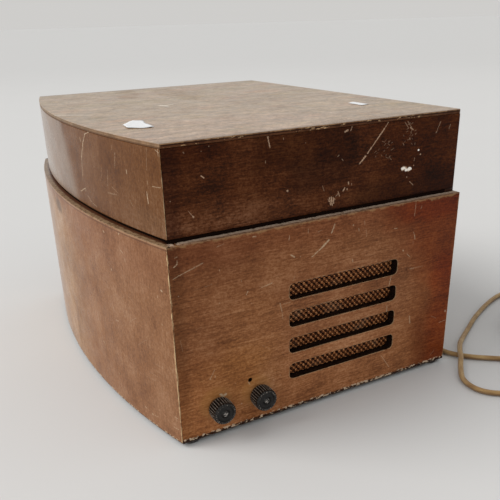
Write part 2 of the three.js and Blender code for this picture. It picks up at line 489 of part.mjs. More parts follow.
// The stored turns as one ring, with the ends where the lead joins and leaves.
const ringIn = COIL_R - 9.5, ringOut = COIL_R + 9.5;
add("mains_lead", "mains_cord_coil", join(
  turned([[ringIn, 0.06], [ringOut, 0.06], [ringOut, 12.6], [ringIn, 12.6]], 32).translate(COIL[0], COIL[1], 0),
  tube([[157.7, 442.6, FLOOR], [163, 445, FLOOR], [176, 447.2, FLOOR], [190, 445.5, FLOOR]], CORD_R, 8, 4),
  tube([[230.3, 405, 9.4], [230.9, 394, 9.4], [231, 380, 9.4], [231, 354.8, 9.4]], CORD_R, 8, 4)), FLEX);
{
  // three-pin plug lying on its cover, with the lead at its edge
  const outline = [[-11, 26], [11, 26], [24, 12], [24, -18], [17, -25], [-17, -25], [-24, -18], [-24, 12]];
  const g = join(plate(outline, [0.1, 20]), plate(outline.map(([x, y]) => [x * 0.93, y * 0.93]), [19, 23]),
    bar("y", 5.2, [20, 27.4], 0, 9.4, 14),
    box([-4, 4], [8, 12], [20, 46]), box([-14.5, -8], [-13, -9], [20, 41]), box([8, 14.5], [-13, -9], [20, 41]));
  add("mains_lead", "mains_plug", g.translate(PLUG[0], PLUG[1], 0), BAKELITE);
}

player.position.set(...SHIFT);
player.updateMatrixWorld(true);

export default player;
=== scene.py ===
import math
import random

import bmesh
import bpy
from mathutils import Matrix, Vector, noise as mnoise


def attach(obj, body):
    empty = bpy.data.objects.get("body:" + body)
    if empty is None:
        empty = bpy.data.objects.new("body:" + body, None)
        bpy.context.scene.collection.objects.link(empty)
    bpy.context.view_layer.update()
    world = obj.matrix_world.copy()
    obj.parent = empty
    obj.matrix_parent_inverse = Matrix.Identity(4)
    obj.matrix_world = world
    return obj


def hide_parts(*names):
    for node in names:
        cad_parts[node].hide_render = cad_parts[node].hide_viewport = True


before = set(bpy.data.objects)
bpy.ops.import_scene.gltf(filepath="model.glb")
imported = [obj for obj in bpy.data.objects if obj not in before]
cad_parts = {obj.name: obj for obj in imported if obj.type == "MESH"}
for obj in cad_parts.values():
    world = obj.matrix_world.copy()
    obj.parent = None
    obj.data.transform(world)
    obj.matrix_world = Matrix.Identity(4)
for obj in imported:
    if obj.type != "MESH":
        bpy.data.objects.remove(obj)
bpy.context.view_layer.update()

scene = bpy.context.scene
scene.view_settings.view_transform = "Standard"
SX, SY = -8.75, 12.75  # the player's own centre line in the record's frame, mm


def P(x, y, z):
    return Vector(((x + SX) / 1000, (y + SY) / 1000, z / 1000))


# ------------------------------------------------------------------ camera
cam_data = bpy.data.cameras.new("camera")
cam_data.lens = 46.54
cam_data.sensor_width = 36.0
cam_data.shift_y = 0.1036
cam_data.clip_start, cam_data.clip_end = 0.02, 50
cam = bpy.data.objects.new("camera", cam_data)
scene.collection.objects.link(cam)
cam.matrix_world = Matrix((
    (0.47712, -0.34263, 0.8093, 0.72478),
    (0.87844, 0.21365, -0.42744, -0.34106),
    (-0.02645, 0.91486, 0.40291, 0.38731),
    (0, 0, 0, 1)))
scene.camera = cam


# ------------------------------------------------------------- node language
class S:
    """A socket of a node graph, with arithmetic."""

    def __init__(self, g, s):
        self.g, self.s = g, s

    def __add__(self, o): return self.g.math("ADD", self, o)
    def __radd__(self, o): return self.g.math("ADD", o, self)
    def __sub__(self, o): return self.g.math("SUBTRACT", self, o)
    def __rsub__(self, o): return self.g.math("SUBTRACT", o, self)
    def __mul__(self, o): return self.g.math("MULTIPLY", self, o)
    def __rmul__(self, o): return self.g.math("MULTIPLY", o, self)
    def __truediv__(self, o): return self.g.math("DIVIDE", self, o)
    def __rtruediv__(self, o): return self.g.math("DIVIDE", o, self)


class Graph:
    def __init__(self, name):
        self.mat = bpy.data.materials.new(name)
        self.mat.use_nodes = True
        self.t = self.mat.node_tree
        self.t.nodes.clear()
        out = self.t.nodes.new("ShaderNodeOutputMaterial")
        self.bsdf = self.t.nodes.new("ShaderNodeBsdfPrincipled")
        self.t.links.new(self.bsdf.outputs[0], out.inputs[0])
        tc = self.t.nodes.new("ShaderNodeTexCoord")
        self.uv = S(self, tc.outputs["UV"])
        pos = self.vec("SCALE", S(self, tc.outputs["Object"]), 1000.0)
        # cabinet millimetres
        self.p = self.vec("SUBTRACT", pos, (SX, SY, 0.0))
        self.x, self.y, self.z = self.sep(self.p)

    def put(self, socket, value):
        if isinstance(value, S):
            self.t.links.new(value.s, socket)
        elif isinstance(value, (tuple, list)):
            v = list(value)
            if socket.type == "RGBA" and len(v) == 3:
                v.append(1.0)
            socket.default_value = v
        else:
            socket.default_value = value

    def math(self, op, a, b=None, c=None, clamp=False):
        n = self.t.nodes.new("ShaderNodeMath")
        n.operation = op
        n.use_clamp = clamp
        self.put(n.inputs[0], a)
        if b is not None:
            self.put(n.inputs[1], b)
        if c is not None:
            self.put(n.inputs[2], c)
        return S(self, n.outputs[0])

    def vec(self, op, a, b=None):
        n = self.t.nodes.new("ShaderNodeVectorMath")
        n.operation = op
        self.put(n.inputs[0], a)
        if op == "SCALE":
            self.put(n.inputs["Scale"], b)
        elif b is not None:
            self.put(n.inputs[1], b)
        return S(self, n.outputs["Value" if op in ("DOT_PRODUCT", "LENGTH", "DISTANCE") else "Vector"])

    def sep(self, v):
        n = self.t.nodes.new("ShaderNodeSeparateXYZ")
        self.put(n.inputs[0], v)
        return [S(self, o) for o in n.outputs]

    def comb(self, x, y, z):
        n = self.t.nodes.new("ShaderNodeCombineXYZ")
        for i, v in enumerate((x, y, z)):
            self.put(n.inputs[i], v)
        return S(self, n.outputs[0])

    def noise(self, v, scale=1.0, detail=2.0, rough=0.5, dist=0.0, colour=False):
        n = self.t.nodes.new("ShaderNodeTexNoise")
        self.put(n.inputs["Vector"], v)
        n.inputs["Scale"].default_value = scale
        n.inputs["Detail"].default_value = detail
        n.inputs["Roughness"].default_value = rough
        n.inputs["Distortion"].default_value = dist
        return S(self, n.outputs["Color" if colour else "Fac"])

    def cells(self, v, scale=1.0, feature="F1", rand=1.0, out="Distance"):
        n = self.t.nodes.new("ShaderNodeTexVoronoi")
        n.feature = feature
        self.put(n.inputs["Vector"], v)
        n.inputs["Scale"].default_value = scale
        n.inputs["Randomness"].default_value = rand
        return S(self, n.outputs[out])

    def step(self, v, lo, hi, to_lo=0.0, to_hi=1.0, smooth=True):
        n = self.t.nodes.new("ShaderNodeMapRange")
        n.interpolation_type = "SMOOTHSTEP" if smooth else "LINEAR"
        n.clamp = not smooth  # the smooth kind is bounded already
        self.put(n.inputs["Value"], v)
        self.put(n.inputs["From Min"], lo)
        self.put(n.inputs["From Max"], hi)
        self.put(n.inputs["To Min"], to_lo)
        self.put(n.inputs["To Max"], to_hi)
        return S(self, n.outputs["Result"])

    def mix(self, f, a, b, kind="MIX"):
        n = self.t.nodes.new("ShaderNodeMix")
        n.data_type = "RGBA"
        n.blend_type = kind
        self.put(n.inputs["Factor"], f)
        self.put(n.inputs[6], a)
        self.put(n.inputs[7], b)
        return S(self, n.outputs[2])

    def ramp(self, f, stops):
        n = self.t.nodes.new("ShaderNodeValToRGB")
        e = n.color_ramp.elements
        while len(e) < len(stops):
            e.new(0.5)
        for el, (at, col) in zip(e, stops):
            el.position = at
            el.color = (*col, 1)
        self.put(n.inputs[0], f)
        return S(self, n.outputs[0])

    def scale_colour(self, c, k):
        """A colour times a number."""
        return self.vec("SCALE", c, k)

    def bump(self, h, strength, distance, under=None):
        n = self.t.nodes.new("ShaderNodeBump")
        n.inputs["Strength"].default_value = strength
        n.inputs["Distance"].default_value = distance
        self.put(n.inputs["Height"], h)
        if under is not None:
            self.put(n.inputs["Normal"], under)
        return S(self, n.outputs[0])

    def set(self, **values):
        for k, v in values.items():
            self.put(self.bsdf.inputs[k.replace("_", " ")], v)
        return self.mat


def mx(g, a, b): return g.math("MAXIMUM", a, b)
def mn(g, a, b): return g.math("MINIMUM", a, b)
def ab(g, a): return g.math("ABSOLUTE", a)


def segments(g, uv, rows, sign):
    """The strength of the scratches drawn as short straight strokes: one of
    [u0, v0, u1, v1, half width, strength] each, in millimetres."""
    total = None
    for u0, v0, u1, v1, w, s in rows:
        if s * sign <= 0:
            continue
        bx, by = u1 - u0, v1 - v0
        l2 = bx * bx + by * by
        q = g.vec("SUBTRACT", uv, (u0, v0, 0.0))
        if l2 > 0.3:
            h = g.vec("DOT_PRODUCT", q, (bx / l2, by / l2, 0.0))
            h = g.math("MINIMUM", g.math("MAXIMUM", h, 0.0), 1.0)
            q = g.vec("SUBTRACT", q, g.vec("SCALE", (bx, by, 0.0), h))
        d = g.vec("LENGTH", q)
        m = g.step(d, w * 1.05, w * 0.2, 0.0, abs(s) * 0.88)
        total = m if total is None else mx(g, total, m)
    return total if total is not None else 0.0


# --------------------------------------------------------------------- solids
def link(ob):
    scene.collection.objects.link(ob)
    return ob


def add_mesh(name, verts, faces, mat, body, node=(), slot=None, smooth=True, uv=None):
    me = bpy.data.meshes.new(name)
    me.from_pydata([tuple(v) for v in verts], [], faces)
    me.validate()
    me.update()
    ob = link(bpy.data.objects.new(name, me))
    finish_piece(ob, mat, body, node, smooth)
    if uv is not None:
        layer = me.uv_layers.new(name="UVMap")
        for loop in me.loops:
            layer.data[loop.index].uv = uv[loop.vertex_index]
    return ob


def finish_piece(ob, mat, body, node=(), smooth=True):
    if mat is not None:
        ob.data.materials.append(mat)
    if smooth and ob.type == "MESH":
        for f in ob.data.polygons:
            f.use_smooth = True
    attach(ob, body)
    if node:
        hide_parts(*([node] if isinstance(node, str) else node))
    return ob


def from_bm(bm, name, mat, body, node=(), smooth=True):
    bmesh.ops.recalc_face_normals(bm, faces=bm.faces)
    me = bpy.data.meshes.new(name)
    bm.to_mesh(me)
    bm.free()
    ob = link(bpy.data.objects.new(name, me))
    return finish_piece(ob, mat, body, node, smooth)


def bevel(ob, width, segments_n=3, angle=35):
    m = ob.modifiers.new("bevel", "BEVEL")
    m.width = width / 1000
    m.segments = segments_n
    m.limit_method = "ANGLE"
    m.angle_limit = math.radians(angle)
    m.harden_normals = False
    m.use_clamp_overlap = True
    w = ob.modifiers.new("normals", "WEIGHTED_NORMAL")
    w.mode = "FACE_AREA"
    w.weight = 80
    w.keep_sharp = True
    return ob


def prism(name, loops, axis, lo, hi, mat, body, node=(), shear=None, bev=0.8, seg=3):
    """An outline with holes, pushed along an axis. loops[0] is the outline."""
    bm = bmesh.new()
    edges = []
    for loop in loops:
        vs = []
        for a, b in loop:
            vs.append(bm.verts.new({"x": P(lo, a, b), "y": P(a, lo, b), "z": P(a, b, lo)}[axis]))
        for i in range(len(vs)):
            edges.append(bm.edges.new((vs[i], vs[(i + 1) % len(vs)])))
    bmesh.ops.triangle_fill(bm, use_beauty=True, use_dissolve=False, edges=edges)
    faces = list(bm.faces)
    made = bmesh.ops.extrude_face_region(bm, geom=faces)
    d = Vector({"x": (hi - lo, 0, 0), "y": (0, hi - lo, 0), "z": (0, 0, hi - lo)}[axis]) / 1000
    top = [e for e in made["geom"] if isinstance(e, bmesh.types.BMVert)]
    bmesh.ops.translate(bm, verts=top, vec=d)
    if shear:
        shear(bm)
    ob = from_bm(bm, name, mat, body, node)
    if bev:
        bevel(ob, bev, seg)
    return ob


def lathe(name, profile, centre, axis, sides, mat, body, node=(), wave=None, close=True):
    """A body of revolution of [radius, height] pairs round an axis through centre. wave(i, angle, r, h) may change the radius and height."""
    verts, faces = [], []
    n = len(profile)
    for i, (r, h) in enumerate(profile):
        for k in range(sides):
            a = 2 * math.pi * k / sides
            rr, hh = wave(i, a, r, h) if wave else (r, h)
            u, v = rr * math.cos(a), rr * math.sin(a)
            if axis == "z":
                verts.append(P(centre[0] + u, centre[1] + v, centre[2] + hh))
            elif axis == "x":
                verts.append(P(centre[0] + hh, centre[1] + u, centre[2] + v))
            else:
                verts.append(P(centre[0] + v, centre[1] + hh, centre[2] + u))
    for i in range(n - 1):
        for k in range(sides):
            k2 = (k + 1) % sides
            faces.append((i * sides + k, i * sides + k2, (i + 1) * sides + k2, (i + 1) * sides + k))
    if close:
        faces.append(tuple(reversed(range(sides))))
        faces.append(tuple((n - 1) * sides + k for k in range(sides)))
    bm = bmesh.new()
    vs = [bm.verts.new(v) for v in verts]
    for f in faces:
        bm.faces.new([vs[i] for i in f])
    bmesh.ops.remove_doubles(bm, verts=bm.verts, dist=1e-6)
    return from_bm(bm, name, mat, body, node)


def catmull(points, per):
    """Centripetal Catmull-Rom, as the solid's route is."""
    pts = [Vector(p) for p in points]
    out = []
    for i in range(len(pts) - 1):
        p1, p2 = pts[i], pts[i + 1]
        p0 = pts[i - 1] if i > 0 else p1 * 2 - p2
        p3 = pts[i + 2] if i + 2 < len(pts) else p2 * 2 - p1
        t = [0.0]
        for a, b in ((p0, p1), (p1, p2), (p2, p3)):
            t.append(t[-1] + max((b - a).length, 1e-6) ** 0.5)
        n = max(1, int(math.ceil((p2 - p1).length / per)))
        for j in range(n):
            s = t[1] + (t[2] - t[1]) * j / n
            a1 = p0 * ((t[1] - s) / (t[1] - t[0])) + p1 * ((s - t[0]) / (t[1] - t[0]))
            a2 = p1 * ((t[2] - s) / (t[2] - t[1])) + p2 * ((s - t[1]) / (t[2] - t[1]))
            a3 = p2 * ((t[3] - s) / (t[3] - t[2])) + p3 * ((s - t[2]) / (t[3] - t[2]))
            b1 = a1 * ((t[2] - s) / (t[2] - t[0])) + a2 * ((s - t[0]) / (t[2] - t[0]))
            b2 = a2 * ((t[3] - s) / (t[3] - t[1])) + a3 * ((s - t[1]) / (t[3] - t[1]))
            out.append(b1 * ((t[2] - s) / (t[2] - t[1])) + b2 * ((s - t[1]) / (t[2] - t[1])))
    out.append(pts[-1])
    return out


def tube(name, path, radius, sides, mat, body, node=(), taper=None):
    """A round tube along points in cabinet millimetres, with its length along U and the way round it along V."""
    pts = [Vector(p) for p in path]
    n = len(pts)
    along = [0.0]
    for a, b in zip(pts, pts[1:]):
        along.append(along[-1] + (b - a).length)
    tang = [(pts[min(i + 1, n - 1)] - pts[max(i - 1, 0)]).normalized() for i in range(n)]
    up = Vector((0, 0, 1))
    if abs(tang[0].dot(up)) > 0.9:
        up = Vector((1, 0, 0))
    frames = []
    nrm = (up - tang[0] * up.dot(tang[0])).normalized()
    for i in range(n):
        nrm = (nrm - tang[i] * nrm.dot(tang[i])).normalized()
        frames.append((nrm.copy(), tang[i].cross(nrm)))
    verts, uvs, faces = [], [], []
    cols = sides + 1
    for i in range(n):
        r = radius * (taper(along[i] / along[-1]) if taper else 1)
        for k in range(cols):
            a = 2 * math.pi * (k % sides) / sides
            q = pts[i] + (frames[i][0] * math.cos(a) + frames[i][1] * math.sin(a)) * r
            verts.append(P(*q))
            uvs.append((along[i] / 1000, k / sides))
    bm = bmesh.new()
    layer = bm.loops.layers.uv.new("UVMap")
    ring = [[bm.verts.new(verts[i * cols + k]) for k in range(sides)] for i in range(n)]
    for i in range(n - 1):
        for k in range(sides):
            k2 = (k + 1) % sides
            f = bm.faces.new((ring[i][k], ring[i][k2], ring[i + 1][k2], ring[i + 1][k]))
            for loop, (ii, kk) in zip(f.loops, ((i, k), (i, k + 1), (i + 1, k + 1), (i + 1, k))):
                loop[layer].uv = uvs[ii * cols + kk]
    for i in (0, n - 1):
        f = bm.faces.new(ring[i])
        for loop in f.loops:
            loop[layer].uv = (along[i] / 1000, 0.5)
    ob = from_bm(bm, name, mat, body, node)
    return ob, along[-1]

# ------------------------------------------------------------------- the cord
# Its route in cabinet millimetres, the same as the solid's.
CORD_R = 3.1
FLOOR = CORD_R + 0.06
HUMP = 3 * CORD_R + 0.7
LEAD = [
    (60, 196.1, 24), (60.4, 206, 23.2), (63.5, 218, 19.6), (71.5, 228, 13.8), (84, 233.6, 8), (99, 233.6, 4.4),
    (116, 229, FLOOR), (140, 218.5, FLOOR), (163, 206, FLOOR), (184, 194.5, FLOOR), (203, 186.6, FLOOR),
    (216, 184.6, FLOOR), (228, 187.2, FLOOR), (242, 196, FLOOR), (254, 207.5, FLOOR), (264, 220, FLOOR),
    (276, 234, FLOOR), (292, 243.6, FLOOR), (310, 243, FLOOR), (325, 232, FLOOR), (333, 214, FLOOR),
    (333.6, 196.2, FLOOR), (330.2, 175.5, FLOOR), (317, 158.2, FLOOR), (302.3, 152.4, FLOOR),
    (283.8, 155.5, FLOOR + 0.4), (265.4, 169.5, FLOOR + 2.6), (252, 182.8, HUMP - 1), (238.6, 194.4, HUMP),
    (225.5, 208, HUMP - 1), (214, 223, FLOOR + 2.8), (203, 239, FLOOR + 0.4), (190, 260, FLOOR), (173.5, 287, FLOOR),
    (159, 315, FLOOR), (146, 344, FLOOR), (137, 370, FLOOR), (132.8, 394, FLOOR), (135.2, 414, FLOOR), (143.5, 431, FLOOR),
    (157, 442.2, FLOOR)]
COIL = (190, 405)


def ease(t):
    t = min(1.0, max(0.0, t))
    return t * t * (3 - 2 * t)


def coil_point(t):
    """t is in turns, clockwise from the back of the coil: three turns on the
    table, wound inwards, then three more on top of them, wound outwards."""
    r = 40.3
    for at, a, b in ((0.95, 40.3, 34.0), (2.0, 34.0, 27.7), (4.1, 27.7, 34.0), (5.12, 34.0, 40.3)):
        if t > at:
            r = a + (b - a) * ease((t - at) / 0.16)
    z = FLOOR + (9.4 - FLOOR) * ease((t - 2.72) / 0.36)
    a = 2 * math.pi * t
    return (COIL[0] + r * math.sin(a), COIL[1] + r * math.cos(a), z)


route = catmull([*LEAD, (163.5, 444.8, FLOOR), (176, 446.4, FLOOR), *[coil_point(i / 24) for i in range(0, 151)],
                 (230.6, 394, 9.4), (231, 380, 9.4), (231, 366, 9.4), (231, 352.6, 9.4)], 3.0)


def braid(name):
    """Cotton-braided flex, gold, with painted shade turning it brown on its sides and underside."""
    g = Graph(name)
    u, v, _ = g.sep(g.uv)
    us = u * 1000.0
    a = us * 0.62
    b = v * 12.0
    w1 = g.math("SINE", (a + b) * 6.2832)
    w2 = g.math("SINE", (a - b) * 6.2832)
    weave = mx(g, w1, w2)
    strand = g.step(weave, -0.2, 1.0)
    wear = g.noise(g.comb(us * 0.05, v * 3.0, 0.0), 1.0, 3, 0.6)
    fine = g.noise(g.p, 1.3, 2, 0.6)
    body = g.ramp(wear, [(0.25, (0.235, 0.125, 0.045)), (0.5, (0.43, 0.265, 0.105)), (0.75, (0.56, 0.40, 0.19))])
    nz = g.sep(S(g, g.t.nodes.new("ShaderNodeNewGeometry").outputs["Normal"]))[2]
    # painted shade: faces that do not point up are mixed towards dark brown
    side = g.step(nz + (wear - 0.5) * 0.5, 0.62, -0.1)
    col = g.mix(side * 0.62, body, (0.11, 0.05, 0.02))
    col = g.mix(g.step(strand, 0.5, 0.0) * 0.34, col, (0.07, 0.035, 0.015))
    col = g.mix(g.step(fine, 0.62, 0.8) * 0.3, col, (0.66, 0.54, 0.32))
    rough = g.step(fine, 0.3, 0.8, 0.62, 0.9)
    return g.set(Base_Color=col, Roughness=rough, Normal=g.bump(strand * 0.7 + fine * 0.3, 0.6, 0.0004),
                 Sheen_Weight=0.25, Specular_IOR_Level=0.3)


cord_ob, cord_len = tube("braided_mains_lead", route, CORD_R, 14, braid("cotton_braid"), "cabinet",
                         ("mains_cord", "mains_cord_coil"))
P(60, 195.8, 24)
round(cord_len / 1000, 3)
[P(*q) for q in route]


# ------------------------------------------------------------ floor and light
def plain_floor():
    g = Graph("studio_paper")
    n = g.noise(g.p, 0.004, 2)
    col = g.mix(n * 0.25, (0.655, 0.662, 0.668), (0.60, 0.607, 0.613))
    # painted shade: the paper darkens by up to 7.5% between 1.2 m and 7 m out from the middle
    far = g.step(g.vec("LENGTH", g.comb(g.x, g.y, 0.0)), 1200.0, 7000.0)
    col = g.vec("SCALE", col, g.step(far, 0.0, 1.0, 1.0, 0.925))
    g.set(Base_Color=col, Roughness=0.75, Specular_IOR_Level=0.25)
    me = bpy.data.meshes.new("floor")
    s = 90.0
    me.from_pydata([(-s, -s, -0.0002), (s, -s, -0.0002), (s, s, -0.0002), (-s, s, -0.0002)], [], [(0, 1, 2, 3)])
    me.materials.append(g.mat)
    link(bpy.data.objects.new("floor", me))


plain_floor()


def area(name, at, target, size, watts, colour=(1, 1, 1)):
    d = bpy.data.lights.new(name, "AREA")
    d.shape = "RECTANGLE"
    d.size, d.size_y = size
    d.energy = watts
    d.color = colour
    ob = link(bpy.data.objects.new(name, d))
    ob.location = at
    ob.rotation_mode = "QUATERNION"
    ob.rotation_quaternion = (Vector(target) - Vector(at)).to_track_quat("-Z", "Y")
    return ob


area("soft_box", (1.6, -2.6, 1.9), (0, 0, 0.15), (1.6, 1.2), 10, (1.0, 0.985, 0.96))
sun_data = bpy.data.lights.new("window", "SUN")
sun_data.energy = 2.0
sun_data.angle = math.radians(34)
sun_data.color = (1.0, 0.975, 0.94)
sun = link(bpy.data.objects.new("window", sun_data))
sun.rotation_mode = "QUATERNION"
sun.rotation_quaternion = Vector((0.42, 1.0, -0.95)).to_track_quat("-Z", "Y")
world = bpy.data.worlds.new("studio")
world.use_nodes = True
world.node_tree.nodes["Background"].inputs[0].default_value = (1.0, 0.985, 0.96, 1)
world.node_tree.nodes["Background"].inputs[1].default_value = 0.62
scene.world = world

